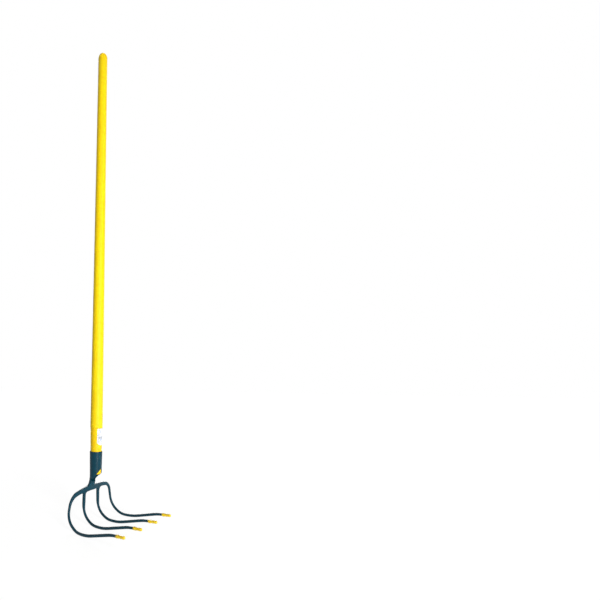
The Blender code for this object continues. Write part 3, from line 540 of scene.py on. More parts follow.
def dashes(tree, across, row, pitch, share, seed):
    """1 on dashes of chance lengths that run across the label, like small rules of print."""
    cell = add(tree, "ShaderNodeMath", (across, pitch), operation="DIVIDE")
    line = add(tree, "ShaderNodeMath", (row, seed), operation="ADD")
    place = add(tree, "ShaderNodeCombineXYZ", (cell, line))
    inputs = {"Vector": place, "Scale": 1.0, "Detail": 1.0}
    chance = add(tree, "ShaderNodeTexNoise", inputs, noise_dimensions="2D")
    return add(tree, "ShaderNodeMath", (chance, share), operation="LESS_THAN")


def label_rules(tree, across, down):
    """Grey print of the label: broken rules, an empty box, and a column of ticks down its left side."""
    printed = []
    for left, right, top, foot, pitch, share, seed in LABEL_RULES:
        place = inside(tree, (across, left, right), (down, top, foot))
        broken = dashes(tree, across, 0.0, pitch, share, seed)
        printed.append(add(tree, "ShaderNodeMath", (place, broken), operation="MULTIPLY"))
    outer = inside(tree, (across, -5.5, 5.1), (down, 8.0, 11.8))
    inner = inside(tree, (across, -5.2, 4.8), (down, 8.3, 11.5))
    printed.append(add(tree, "ShaderNodeMath", (outer, inner), operation="SUBTRACT"))
    rows = add(tree, "ShaderNodeMath", (down, 1 / TICK_PITCH), operation="MULTIPLY")
    part = add(tree, "ShaderNodeMath", (rows,), operation="FRACT")
    column = inside(tree, (across, -11.6, -6.8), (down, 14.4, 39.7), (part, 0.1, 0.65))
    row = add(tree, "ShaderNodeMath", (rows,), operation="FLOOR")
    row_seed = add(tree, "ShaderNodeMath", (row, 7.3), operation="MULTIPLY")
    ticks = dashes(tree, across, row_seed, 0.9, 0.6, 11.0)
    printed.append(add(tree, "ShaderNodeMath", (column, ticks), operation="MULTIPLY"))
    return chain(tree, "MAXIMUM", *printed)


def label_figures(tree, across, down):
    """Black print of the label: three framed squares with a pip each, and a panel with a slot."""
    cells = add(tree, "ShaderNodeMath", (across, 1 / SQUARE_PITCH), operation="MULTIPLY")
    cell = add(tree, "ShaderNodeMath", (cells,), operation="FRACT")
    row = (across, -5.9, 3.1)
    square = inside(tree, row, (down, 23.0, 28.6), (cell, 0.08, 0.92))
    hollow = inside(tree, row, (down, 24.0, 27.6), (cell, 0.26, 0.74))
    pip = inside(tree, row, (down, 25.0, 26.6), (cell, 0.40, 0.60))
    frames = add(tree, "ShaderNodeMath", (square, hollow), operation="SUBTRACT")
    plate = inside(tree, (across, 3.9, 12.0), (down, 22.8, 28.8))
    slot = inside(tree, (across, 6.2, 10.2), (down, 25.2, 26.3))
    panel = add(tree, "ShaderNodeMath", (plate, slot), operation="SUBTRACT")
    return chain(tree, "MAXIMUM", frames, pip, panel)


def label_paper(name, colours):
    """Coated self-adhesive paper, printed offset: smooth bluish white with a slight sheen and a faint
    fibre tooth, drawn coarser than it is so that it shows, and plain ink rules, ticks, squares, a ring
    and a disc that say nothing."""
    made, tree = with_nodes(bpy.data.materials.new(name))
    uv = add(tree, "ShaderNodeUVMap", uv_map="label_mm")
    split = add(tree, "ShaderNodeSeparateXYZ", (uv,)).outputs
    dots = []
    for centre, hole in (((0.2, 32.4, 0.0), 0.7), ((5.8, 32.4, 0.0), 0.0)):
        gone = add(tree, "ShaderNodeVectorMath", (uv, centre), operation="DISTANCE")
        dots.append(inside(tree, (gone, hole, DOT_RADIUS)))
    tooth = grain(tree, 0.5)
    shade_of_tooth = add(tree, "ShaderNodeMapRange", (tooth, 0.3, 0.7, 0.0, 0.06))
    base = coloured(tree, colours.label, (shade_of_tooth, colours.pale_ink))
    prints = (
        (label_rules(tree, split["X"], split["Y"]), 0.85, colours.pale_ink),
        (label_figures(tree, split["X"], split["Y"]), 0.92, colours.ink),
        (chain(tree, "MAXIMUM", *dots), 0.85, colours.dot_ink),
    )
    for place, cover, ink in prints:
        inked = add(tree, "ShaderNodeMath", (place, cover), operation="MULTIPLY")
        base = coloured(tree, base, (inked, ink))
    shade(
        tree,
        {
            "Metallic": 0.0,
            "IOR": 1.48,
            "Coat Weight": 0.2,
            "Coat Roughness": 0.2,
            "Base Color": base,
            "Roughness": add(tree, "ShaderNodeMapRange", (tooth, 0.3, 0.7, 0.32, 0.42)),
            "Normal": relief(tree, (tooth, 0.00002, 1.0)),
        },
    )
    return made


def turned_ash(name, colours):
    """Ash, turned and left bare: dull, with darker growth rings seen as long lines on its side and fine
    open pores drawn out along the grain. The rings are 2.4 mm apart, round a heart off the axis."""
    made, tree = with_nodes(bpy.data.materials.new(name))
    place = add(tree, "ShaderNodeTexCoord").outputs["Object"]
    inputs = {"Vector": place, "Scale": (1.0, 1.0, 0.02), "Location": (0.021, 0.006, 0.0)}
    long = add(tree, "ShaderNodeMapping", inputs)
    inputs = {"Vector": long, "Scale": 1000.0 / 2.4 / math.tau, "Distortion": 1.2, "Detail": 2.0}
    wave = add(tree, "ShaderNodeTexWave", inputs, wave_type="RINGS", rings_direction="Z")
    rings = wave.outputs["Fac"]
    pores = grain(tree, 0.5, stretch=(1.0, 1.0, 0.05))
    late = add(tree, "ShaderNodeMapRange", (rings, 0.3, 0.9, 0.0, 0.8))
    deep = add(tree, "ShaderNodeMapRange", (pores, 0.6, 0.75, 0.0, 0.6))
    dark = colours.wood_dark
    shade(
        tree,
        {
            "Metallic": 0.0,
            "IOR": 1.5,
            "Base Color": coloured(tree, colours.wood, (late, dark), (deep, dark)),
            "Roughness": add(tree, "ShaderNodeMapRange", (rings, 0.0, 1.0, 0.75, 0.6)),
            "Normal": relief(tree, (pores, 0.0001, 1.0)),
        },
    )
    return made


def fibre_in_resin(name, colours):
    """Glass fibre drawn in polyester resin: milky and faintly green, with threads along the handle."""
    made, tree = with_nodes(bpy.data.materials.new(name))
    threads = grain(tree, 0.7, detail=3.0, stretch=(1.0, 1.0, 0.008))
    pale = add(tree, "ShaderNodeMapRange", (threads, 0.35, 0.7, 0.0, 0.5))
    shade(
        tree,
        {
            "Metallic": 0.0,
            "IOR": 1.55,
            "Subsurface Weight": 0.1,
            "Subsurface Scale": 0.001,
            "Base Color": coloured(tree, colours.resin, (pale, colours.wood)),
            "Roughness": add(tree, "ShaderNodeMapRange", (threads, 0.3, 0.7, 0.3, 0.5)),
            "Normal": relief(tree, (threads, 0.00008, 1.0)),
        },
    )
    return made


def add_object(name, data):
    made = bpy.data.objects.new(name, data)
    bpy.context.scene.collection.objects.link(made)
    return made


def apply_modifiers(thing):
    """Turns what an object's modifiers make into its own plain mesh."""
    bpy.context.view_layer.update()
    depsgraph = bpy.context.evaluated_depsgraph_get()
    mesh = bpy.data.meshes.new_from_object(thing.evaluated_get(depsgraph))
    thing.modifiers.clear()
    thing.data = mesh


def face_outward(mesh):
    """Merges a closed mesh's doubles and turns its faces outwards."""
    work = bmesh.new()
    work.from_mesh(mesh)
    bmesh.ops.remove_doubles(work, verts=work.verts, dist=MERGE)
    bmesh.ops.recalc_face_normals(work, faces=work.faces)
    if work.calc_volume(signed=True) < 0:
        bmesh.ops.reverse_faces(work, faces=work.faces)
    work.to_mesh(mesh)
    work.free()


def smooth(mesh, sharp_angle):
    """Shades a mesh smooth but for edges that turn by more than an angle in degrees."""
    for face in mesh.polygons:
        face.use_smooth = True
    mesh.set_sharp_from_angle(angle=math.radians(sharp_angle))


def dress(piece, body, node, finish):
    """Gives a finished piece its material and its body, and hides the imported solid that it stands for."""
    piece.data.materials.clear()
    piece.data.materials.append(finish)
    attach(piece, body)
    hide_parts(node)


def turned(name, profile, closed):
    """A solid of revolution about Z from a profile of (radius, height) points."""
    mesh = bpy.data.meshes.new(name)
    edges = [(i, i + 1) for i in range(len(profile) - 1)]
    if closed:
        edges.append((len(profile) - 1, 0))
    mesh.from_pydata([(radius, 0.0, height) for radius, height in profile], edges, [])
    made = add_object(name, mesh)
    screw = made.modifiers.new("turn", "SCREW")
    screw.steps = TURN_STEPS
    screw.render_steps = TURN_STEPS
    screw.use_merge_vertices = True
    screw.merge_threshold = MERGE
    apply_modifiers(made)
    face_outward(made.data)
    return made


def quarter_turn(steps, first=0):
    """Angles in equal steps up to a quarter turn."""
    return [i / steps * math.pi / 2 for i in range(first, steps + 1)]


def rounded_path(corners, radii):
    """Points along straight runs between corners, each inner corner bent to its radius."""
    points = [corners[0].copy()]
    for i in range(1, len(corners) - 1):
        before = (corners[i - 1] - corners[i]).normalized()
        after = (corners[i + 1] - corners[i]).normalized()
        turn = math.pi - before.angle(after)
        radius = radii[i - 1]
        reach = radius * math.tan(turn / 2)
        middle = (before + after).normalized()
        centre = corners[i] + middle * (radius / math.cos(turn / 2))
        start = corners[i] + before * reach - centre
        axis = start.cross(corners[i] + after * reach - centre).normalized()
        count = max(2, math.ceil(turn / BEND_STEP))
        for k in range(count + 1):
            points.append(centre + Matrix.Rotation(turn * k / count, 3, axis) @ start)
    points.append(corners[-1].copy())
    return points


def lengths_along(points):
    total = [0.0]
    for a, b in zip(points, points[1:]):
        total.append(total[-1] + (b - a).length)
    return total


def between(value, stations):
    """Linear reading of stations, each a position and its numbers."""
    if value <= stations[0][0]:
        return stations[0][1:]
    for low, high in zip(stations, stations[1:]):
        if value <= high[0]:
            part = (value - low[0]) / (high[0] - low[0])
            return tuple(a + (b - a) * part for a, b in zip(low[1:], high[1:]))
    return stations[-1][1:]


def ring_point(angle, half_a, half_b, power):
    """Point of a rounded square of the given half sizes. Its squareness is the power; 2 is an ellipse."""
    c = math.cos(angle)
    s = math.sin(angle)
    scale = (abs(c) ** power + abs(s) ** power) ** (-1.0 / power)
    return half_a * c * scale, half_b * s * scale


def eased(value, low, high):
    """0 below a range and 1 above it, with a soft start and end between."""
    part = min(1.0, max(0.0, (value - low) / (high - low)))
    return part * part * (3 - 2 * part)


def fillet_growth(distance, width, height):
    """How far a fillet stands out at a distance before the face that it runs into."""
    gone = 1 - min(1.0, max(0.0, distance / height))
    return width * (1 - math.sqrt(1 - gone * gone))


def loft(name, rings, strip_caps=False):
    """A closed body through rings of the same number of points."""
    count = len(rings[0])
    points = [tuple(p) for ring in rings for p in ring]
    faces = []
    for r in range(len(rings) - 1):
        for i in range(count):
            j = (i + 1) % count
            faces.append((r * count + i, r * count + j, (r + 1) * count + j, (r + 1) * count + i))
    for first in (0, (len(rings) - 1) * count):
        if strip_caps:
            for i in range(count // 2 - 1):
                faces.append((first + i, first + i + 1, first + count - 2 - i, first + count - 1 - i))
        else:
            faces.append(tuple(range(first, first + count)))
    mesh = bpy.data.meshes.new(name)
    mesh.from_pydata(points, [], faces)
    face_outward(mesh)
    return add_object(name, mesh)


def bar_rings(points, stations):
    """Sections of a bar along the points, which starts square to X.

    A station is a distance, two half sizes, a squareness and the section's shift along its second side.
    """
    along = lengths_along(points)
    side = Vector((1, 0, 0))
    tangent = (points[1] - points[0]).normalized()
    rings = []
    for i, point in enumerate(points):
        ahead = points[min(i + 1, len(points) - 1)] - point
        behind = point - points[max(i - 1, 0)]
        new_tangent = (ahead.normalized() + behind.normalized()).normalized()
        side = tangent.rotation_difference(new_tangent) @ side
        side = (side - new_tangent * side.dot(new_tangent)).normalized()
        tangent = new_tangent
        up = tangent.cross(side)
        half_side, half_up, power, shift = between(along[i], stations)
        ring = []
        for k in range(SECTION_SIDES):
            a, b = ring_point(2 * math.pi * (k + 0.5) / SECTION_SIDES, half_side, half_up, power)
            ring.append(point + side * a + up * (b + shift))
        rings.append(ring)
    return rings


def at_depth(x, y, depth):
    return Vector((x, y, RIM_Z - depth))


def sleeve_radius(depth):
    """Outside of the tapered lower sleeve at a depth below the rim (negative above it)."""
    top = bpy.context.scene.claw_handle.sleeve_top
    if depth < 0:
        part = -depth / RING_SEAM_RISE
        return (SLEEVE_RIM_DIAMETER + (top - SLEEVE_RIM_DIAMETER) * part) / 2
    part = min(1.0, depth / HANDLE_END_DEPTH)
    return (SLEEVE_RIM_DIAMETER + (SLEEVE_END_DIAMETER - SLEEVE_RIM_DIAMETER) * part) / 2


def socket_outer_radius(depth):
    return sleeve_radius(depth) + CLEARANCE + bpy.context.scene.claw_head.socket_wall


def yoke_back(head):
    return TINE_X - head.tine_diameter / 2


def yoke_edge_depth(head, arm, reach, edge):
    """Depth of the yoke's top (edge -1) or underside (edge 1) at a distance from the middle plane."""
    line = [(YOKE_LEVEL_REACH, head.yoke_depth), arm.bend]
    centre = between(reach, line)[0]
    heights = [(0.0, YOKE_MIDDLE_HEIGHT), (YOKE_ROOT_REACH, head.yoke_height), (arm.bend[0], arm.height)]
    return centre + edge * between(reach, heights)[0] / 2


def lip_opening(head, depth, knee, low):
    """Share of the way from the seam to the neck's side that a lip has opened at a depth."""
    return between(depth, [(head.mouth_apex, 0.0), knee, low, (head.mouth_foot, 1.0)])[0]


def neck_side(head, arm, depth, fillet):
    """Distance of the neck's side from the middle plane, with its fillet into the yoke's top."""
    foot = yoke_edge_depth(head, arm, head.neck_width / 2 + fillet[0], -1) + CLEARANCE
    return head.neck_width / 2 + fillet_growth(foot - depth, *fillet)


def socket_ring(head, depth):
    """Section of socket, trough and neck: outer side from lip to lip, then the inner side back."""
    outer_radius = socket_outer_radius(depth)
    rounding = 0.0
    if depth < SOCKET_RIM_ROUND:
        gone = 1 - depth / SOCKET_RIM_ROUND
        rounding = SOCKET_RIM_ROUND * (1 - math.sqrt(1 - gone * gone))
    closed_half = math.pi - SEAM_SLIT / 2 / outer_radius
    foot_half = math.asin(head.neck_width / 2 / outer_radius)
    left_opening = lip_opening(head, depth, LEFT_LIP_KNEE, LEFT_LIP_LOW)
    right_opening = lip_opening(head, depth, RIGHT_LIP_KNEE, RIGHT_LIP_LOW)
    flat = eased(depth, FLATTEN_START_DEPTH, FLATTEN_END_DEPTH)
    turn = SEAM_TURN * (1 - flat)
    setback = eased(depth, NECK_SETBACK_START_DEPTH, NECK_SETBACK_END_DEPTH)
    yoke_front = 2 * YOKE_MIDDLE_X - yoke_back(head)
    front = NECK_FRONT + (yoke_front - CLEARANCE / 2 - NECK_FRONT) * setback
    back = NECK_BACK + (yoke_back(head) + 2 * CLEARANCE - NECK_BACK) * setback
    left = neck_side(head, LEFT_ARM, depth, LEFT_NECK_FILLET)
    right = neck_side(head, RIGHT_ARM, depth, RIGHT_NECK_FILLET)
    middle_x = (front + back) / 2
    middle_y = (right - left) / 2
    half_x = (front - back) / 2
    half_y = (right + left) / 2
    corner = math.atan2(head.neck_width, NECK_FRONT - NECK_BACK)
    outer = []
    inner = []
    for k in range(SOCKET_COLUMNS + 1):
        t = 2 * k / SOCKET_COLUMNS - 1
        opening = left_opening if t > 0 else right_opening
        half = closed_half + (foot_half - closed_half) * opening
        angle = math.pi + turn + half * t
        bar_x, bar_y = ring_point(math.pi + (math.pi - corner) * t, half_x, half_y, NECK_SQUARENESS)
        bar = Vector((middle_x + bar_x, middle_y + bar_y))
        arc = Vector((math.cos(angle), math.sin(angle)))
        skin = arc * outer_radius * (1 - flat) + bar * flat
        outer.append(skin - skin.normalized() * rounding)
        front_x, front_y = ring_point(-corner * t, half_x, half_y, NECK_SQUARENESS)
        face = Vector((middle_x + front_x, middle_y + front_y))
        hollow = skin - skin.normalized() * head.socket_wall
        trough_depth = TROUGH_MIDDLE_DEPTH + (TROUGH_SIDE_DEPTH - TROUGH_MIDDLE_DEPTH) * t * t
        filled = eased(depth, trough_depth, trough_depth + TROUGH_SLOPE_LENGTH)
        inner.append(hollow * (1 - filled) + face * filled)
    return [at_depth(p.x, p.y, depth) for p in outer + inner[::-1]]


def socket_and_neck(head):
    """Rolled socket, open trough and neck."""
    depths = [SOCKET_RIM_ROUND * part for part in (0.0, 0.06, 0.2, 0.4, 0.7, 1.0)]
    depths += [head.mouth_apex * part for part in (0.2, 0.4, 0.6, 0.8)]
    below = NECK_END_DEPTH - head.mouth_apex
    depths += [head.mouth_apex + below * i / NECK_STEPS for i in range(NECK_STEPS + 1)]
    return loft("neck", [socket_ring(head, depth) for depth in depths], strip_caps=True)


def seam_filler(head):
    """Bar that closes the rolled seam inside its wall, from just below the rim to the mouth's top."""
    inner = SEAM_FILL_SINK
    outer = head.socket_wall - SEAM_FILL_SINK
    ends = []
    for depth in (SEAM_FILL_INSET, head.mouth_apex - SEAM_FILL_INSET):
        base = socket_outer_radius(depth) - head.socket_wall
        corners = []
        for height, side in ((inner, -1), (inner, 1), (outer, 1), (outer, -1)):
            radius = base + height
            angle = SEAM_TURN + side * SEAM_SLIT / radius
            corners.append(at_depth(radius * math.cos(angle), radius * math.sin(angle), depth))
        ends.append(corners)
    return loft("seam_filler", ends)


def tine_corners(head, side, line_y):
    """Corners of a tine's centre line from the heel to the point."""
    guard = bpy.context.scene.claw_guard
    tip_x = CAP_MOUTH_X + (guard.span - CAP_END_WALL - CLEARANCE) * math.cos(TIP_ANGLE)
    tip_corner_depth = head.sole_depth - (TIP_CORNER_X - RISE_CORNER_X) * math.tan(RISE_ANGLE)
    tip_depth = tip_corner_depth - (tip_x - TIP_CORNER_X) * math.tan(TIP_ANGLE)
    line_x = (TINE_X, SOLE_CORNER_X, RISE_CORNER_X, TIP_CORNER_X, tip_x)
    line_depth = (HEEL_CORNER_DEPTH, head.sole_depth, head.sole_depth, tip_corner_depth, tip_depth)
    return [at_depth(x, side * y, depth) for x, y, depth in zip(line_x, line_y, line_depth)]


def tine_radii(head):
    return [head.heel_radius, head.sole_radius, RISE_RADIUS, TIP_RADIUS]


def guard_seat(corners):
    """Middle of the guard's mouth on the tine's last straight, and the way that the straight points."""
    direction = (corners[-1] - corners[-2]).normalized()
    mouth = corners[-2] + direction * ((CAP_MOUTH_X - corners[-2].x) / direction.x)
    return mouth, direction


def tip_stations(head, total, tip_length):
    """Round bar that narrows to the guard's mouth and then to its point."""
    round_half = head.tine_diameter / 2
    mouth_half = head.tine_mouth / 2
    point_half = head.tine_point / 2
    end_half = head.tine_end / 2
    return [
        (total - tip_length - TINE_TAPER_LENGTH, round_half, round_half, ROUND, 0.0),
        (total - tip_length, mouth_half, mouth_half, ROUND, 0.0),
        (total - TINE_END_LENGTH, point_half, point_half, ROUND, 0.0),
        (total, end_half, end_half, ROUND, 0.0),
    ]


def with_tip_points(points, tip_length):
    """Adds the points for the tine's sections at the guard's mouth and before the rounded point."""
    end = points[-1]
    back = (points[-2] - end).normalized()
    return points[:-1] + [end + back * tip_length, end + back * TINE_END_LENGTH, end]


def inner_tine(head, arm):
    """Middle tine with its square root, whose fillet is small on the left and large on the right."""
    corners = tine_corners(head, arm.side, INNER_LINE_Y)
    root_half = INNER_ROOT_WIDTH / 2
    root_y = arm.side * INNER_ROOT_Y
    slope = (corners[0].y - root_y) / (HEEL_CORNER_DEPTH - head.yoke_depth)
    left_foot = yoke_edge_depth(head, arm, abs(root_y - root_half - ROOT_SMALL_FILLET), 1) - CLEARANCE
    right_foot = yoke_edge_depth(head, arm, abs(root_y + root_half + arm.fillet_width), 1) - CLEARANCE
    down = [head.yoke_depth]
    for i in range(ROOT_STEPS + 1):
        down.append(left_foot + ROOT_SMALL_FILLET * (i / ROOT_STEPS) ** 2)
        down.append(right_foot + arm.fillet_height * (i / ROOT_STEPS) ** 2)
    down.sort()
    down += [INNER_SQUARE_END_DEPTH + INNER_SQUARE_STEP * i for i in range(5)]
    leg = [at_depth(TINE_X, root_y + slope * (depth - head.yoke_depth), depth) for depth in down]
    bend = rounded_path([leg[-1]] + corners, tine_radii(head))[1:]
    tip_length = (corners[-1] - guard_seat(corners)[0]).length
    points = with_tip_points(leg + bend, tip_length)
    along = lengths_along(points)
    round_half = head.tine_diameter / 2
    root = (round_half - 2 * YOKE_FLAT_CUT, root_half, INNER_ROOT_SQUARENESS)
    shape = [(INNER_SQUARE_END_DEPTH, *root), (INNER_ROUND_DEPTH, round_half, round_half, ROUND)]
    stations = []
    for i, depth in enumerate(down):
        left = fillet_growth(depth - left_foot, ROOT_SMALL_FILLET, ROOT_SMALL_FILLET)
        right = fillet_growth(depth - right_foot, arm.fillet_width, arm.fillet_height)
        thick, wide, square = between(depth, shape)
        stations.append((along[i], thick, wide + (left + right) / 2, square, (left - right) / 2))
    to_round = INNER_ROUND_DEPTH - down[-1]
    stations.append((along[len(down) - 1] + to_round, round_half, round_half, ROUND, 0.0))
    stations += tip_stations(head, along[-1], tip_length)
    return loft("inner_tine", bar_rings(points, stations))


def yoke_half_rings(head, arm):
    """Half of the yoke from the middle plane, which turns down at the shoulder as an outer tine.

    Its section goes from nearly square in the yoke to round below the shoulder.
    """
    corners = tine_corners(head, arm.side, OUTER_LINE_Y)
    start = at_depth(YOKE_MIDDLE_X, 0.0, head.yoke_depth)
    level = at_depth(YOKE_MIDDLE_X, arm.side * YOKE_LEVEL_REACH, head.yoke_depth)
    bend = at_depth(TINE_X, arm.side * arm.bend[0], arm.bend[1])
    turn = at_depth(TINE_X, arm.side * arm.shoulder[0], arm.shoulder[1])
    radii = [ARM_START_RADIUS, ARM_BEND_RADIUS, arm.shoulder_radius] + tine_radii(head)
    points = rounded_path([start, level, bend, turn] + corners, radii)
    bend_run = arm.bend[0] - YOKE_LEVEL_REACH
    root = level + (bend - level) * (YOKE_ROOT_REACH - YOKE_LEVEL_REACH) / bend_run
    tip_length = (corners[-1] - guard_seat(corners)[0]).length
    points = with_tip_points(points, tip_length)
    total = lengths_along(points)[-1]
    to_root = YOKE_LEVEL_REACH + (root - level).length
    to_bend = YOKE_LEVEL_REACH + (bend - level).length
    to_turn = to_bend + (turn - bend).length
    round_half = head.tine_diameter / 2
    back = yoke_back(head)
    stations = [
        (YOKE_LEVEL_REACH, YOKE_MIDDLE_X - back, YOKE_MIDDLE_HEIGHT / 2, YOKE_SQUARENESS, 0.0),
        (to_root, root.x - back, head.yoke_height / 2, YOKE_SQUARENESS, 0.0),
        (to_bend, round_half, arm.height / 2, 5.0, 0.0),
        (to_turn + ARM_FLAT_END, round_half, arm.height / 2, 3.5, 0.0),
        (to_turn + SHOULDER_OVAL_PLACE, round_half, round_half * SHOULDER_OVAL, 2.6, 0.0),
        (to_turn + SHOULDER_ROUND_PLACE, round_half, round_half, ROUND, 0.0),
    ]
    stations += tip_stations(head, total, tip_length)
    return bar_rings(points, stations)


def yoke_and_outer_tines(head):
    left = [ring[::-1] for ring in yoke_half_rings(head, LEFT_ARM)]
    return loft("yoke", left[:0:-1] + yoke_half_rings(head, RIGHT_ARM))


def hammered(mesh, amount):
    """Moves the skin in and out by a soft noise, as hammering and forging dies leave it."""
    work = bmesh.new()
    work.from_mesh(mesh)
    for vertex in work.verts:
        vertex.co += vertex.normal * (noise.noise(vertex.co / HAMMER_LUMP) * amount)
    work.to_mesh(mesh)
    work.free()


class CLAW_OT_head(bpy.types.Operator):
    """Builds the forged head with its socket, yoke and four tines"""

    bl_idname = "claw.head"
    bl_label = "Forged head"

    def execute(self, context):
        head = context.scene.claw_head
        bars = [socket_and_neck(head), yoke_and_outer_tines(head)]
        bars += [inner_tine(head, LEFT_ARM), inner_tine(head, RIGHT_ARM), seam_filler(head)]
        whole = bmesh.new()
        for bar in bars:
            whole.from_mesh(bar.data)
            bpy.data.objects.remove(bar, do_unlink=True)
        mesh = bpy.data.meshes.new("claw_head")
        whole.to_mesh(mesh)
        whole.free()
        piece = add_object("claw_head", mesh)
        melt = piece.modifiers.new("melt", "REMESH")
        melt.mode = "VOXEL"
        melt.voxel_size = head.blend
        soften = piece.modifiers.new("soften", "SMOOTH")
        soften.factor = 0.5
        soften.iterations = head.soften
        apply_modifiers(piece)
        hammered(piece.data, head.uneven)
        smooth(piece.data, 180)
        seam_foot = RIM_Z - head.mouth_apex
        finish = enamel_on_forged_steel("teal_enamel_on_forging", context.scene.claw_colours, seam_foot)
        dress(piece, "tool", "claw_forging", finish)
        return {"FINISHED"}


def cover_profile(low, high, low_radius, high_radius, edge, waver, phase):
    """Outside of a cover from its top edge to its foot, with chamfered corners and a slight waver."""
    steps = max(4, round((high - low) / COVER_STEP))
    points = [(high_radius - edge, high), (high_radius, high - edge)]
    for i in range(1, steps):
        part = i / steps
        radius = high_radius + (low_radius - high_radius) * part
        fade = min(1.0, 6 * part, 6 * (1 - part))
        place = Vector((phase, 0.0, part * (high - low) / WAVER_LENGTH))
        radius -= waver * fade * (0.5 + 0.5 * noise.noise(place))
        points.append((radius, high - (high - low) * part))
    return points + [(low_radius, low + edge), (low_radius - edge, low)]


def dress_cover(name, profile, node, finish):
    """Turns a cover of the handle from its closed profile and dresses it."""
    piece = turned(name, profile, True)
    smooth(piece.data, 35)
    dress(piece, "tool", node, finish)


class CLAW_OT_handle(bpy.types.Operator):
    """Builds the long cover, the lower sleeve and the end sleeve of the handle"""

    bl_idname = "claw.handle"
    bl_label = "Handle covers"

    def execute(self, context):
        handle = context.scene.claw_handle
        colours = context.scene.claw_colours
        edge = handle.seam_chamfer
        bore = SHEATH_BORE_RADIUS

        low = SHEATH_LOW.z
        high = SHEATH_HIGH.z
        foot_radius = handle.sheath_low / 2
        profile = cover_profile(low, high, foot_radius, handle.sheath_top / 2, edge, handle.waver, 0.3)
        profile += [(bore, low), (bore, high)]
        finish = drawn_cover_plastic("yellow_drawn_polypropylene", colours.cover, colours.cover_deep, 1.0)
        dress_cover("handle_cover", profile, "handle_sheath", finish)

        top = SLEEVE_HIGH.z
        rim_radius = SLEEVE_RIM_DIAMETER / 2
        outside = cover_profile(RIM_Z, top, rim_radius, handle.sleeve_top / 2, edge, handle.waver, 5.1)
        profile = [(bore, top)] + outside[:-2] + [(rim_radius, RIM_Z)]
        end = SLEEVE_END_DIAMETER / 2
        foot = RIM_Z - HANDLE_END_DEPTH
        for a in quarter_turn(8):
            radius = end - SLEEVE_END_ROUND * (1 - math.cos(a))
            profile.append((radius, foot + SLEEVE_END_ROUND * (1 - math.sin(a))))
        profile += [(0.0, foot), (0.0, foot + SLEEVE_FLOOR), (bore, foot + SLEEVE_FLOOR)]
        finish = drawn_cover_plastic("yellow_moulded_polypropylene", colours.sleeve, colours.cover_deep, 0.2)
        dress_cover("handle_sleeve", profile, "handle_lower_sleeve", finish)

        radius = handle.end_sleeve / 2
        tip = END_HIGH.z
        profile = [(0.0, tip - END_DOME_WALL)]
        for a in quarter_turn(18):
            profile.append((radius * math.sin(a), tip - END_DOME_LENGTH * (1 - math.cos(a))))
        low = END_LOW.z
        profile += cover_profile(low, tip - END_DOME_LENGTH, radius, radius, edge, handle.waver, 9.7)[2:]
        profile += [(bore, low), (bore, tip - END_DOME_WALL)]
        finish = drawn_cover_plastic("yellow_end_polypropylene", colours.cover, colours.cover_deep, 0.0)
        dress_cover("handle_end", profile, "handle_end_sleeve", finish)
        return {"FINISHED"}


class CLAW_OT_layers(bpy.types.Operator):
    """Finishes the wood core and the glass-fibre layer inside the handle"""

    bl_idname = "claw.layers"
    bl_label = "Inner layers"

    def execute(self, context):
        colours = context.scene.claw_colours
        finishes = {
            "handle_core": turned_ash("bare_turned_ash", colours),
            "handle_fibre_layer": fibre_in_resin("glass_fibre_in_resin", colours),
        }
        for node, finish in finishes.items():
            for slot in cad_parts[node].material_slots:
                slot.material = finish
        return {"FINISHED"}


def guard_profile(guard, head):
    """Outside and inside of a guard, as (radius, distance from its mouth)."""
    end = guard.end / 2
    profile = [(0.0, guard.span)]
    for a in quarter_turn(12, 1):
        profile.append((end * math.sin(a), guard.span - end * (1 - math.cos(a))))
    for i in range(13):
        part = i / 12
        radius = guard.waist / 2 + (guard.bulge - guard.waist) / 2 * eased(part, 0.0, 1.0)
        profile.append((radius, guard.waist_place + (guard.bulge_place - guard.waist_place) * part))
    for i in range(1, 9):
        part = i / 8
        radius = guard.bulge / 2 - (guard.bulge - guard.mouth) / 2 * part * part
        profile.append((radius, guard.bulge_place + (CAP_LIP_START - guard.bulge_place) * part))
    profile += [(guard.mouth / 2 - inward, height) for inward, height in CAP_LIP]
    profile.append((head.tine_mouth / 2 + CLEARANCE, 0.0))
    bottom = guard.span - CAP_END_WALL
    profile.append((head.tine_point / 2 + CLEARANCE, bottom - CLEARANCE - TINE_END_LENGTH))
    profile += [(head.tine_end / 2 + CLEARANCE, bottom), (0.0, bottom)]
    return profile


class CLAW_OT_guards(bpy.types.Operator):
    """Builds the four push-on guards over the tine points"""

    bl_idname = "claw.guards"
    bl_label = "Tip guards"

    def execute(self, context):
        head = context.scene.claw_head
        finish = guard_plastic("yellow_soft_polyethylene", context.scene.claw_colours)
        lines = ((-1, OUTER_LINE_Y), (-1, INNER_LINE_Y), (1, INNER_LINE_Y), (1, OUTER_LINE_Y))
        for number, (side, line_y) in enumerate(lines, start=1):
            mouth, direction = guard_seat(tine_corners(head, side, line_y))
            piece = turned("tip_guard_%d" % number, guard_profile(context.scene.claw_guard, head), False)
            turn = Vector((0, 0, 1)).rotation_difference(direction).to_matrix().to_4x4()
            piece.data.transform(Matrix.Translation(mouth) @ turn)
            smooth(piece.data, 40)
            dress(piece, "guard_%d" % number, "tip_cap_%d" % number, finish)
        return {"FINISHED"}


def radial_matrix(angle, depth):
    """Frame on the handle's axis whose Z points outwards at the given angle."""
    outward = Vector((math.cos(angle), math.sin(angle), 0))
    turn = Vector((0, 0, 1)).rotation_difference(outward).to_matrix().to_4x4()
    return Matrix.Translation(at_depth(0, 0, depth)) @ turn


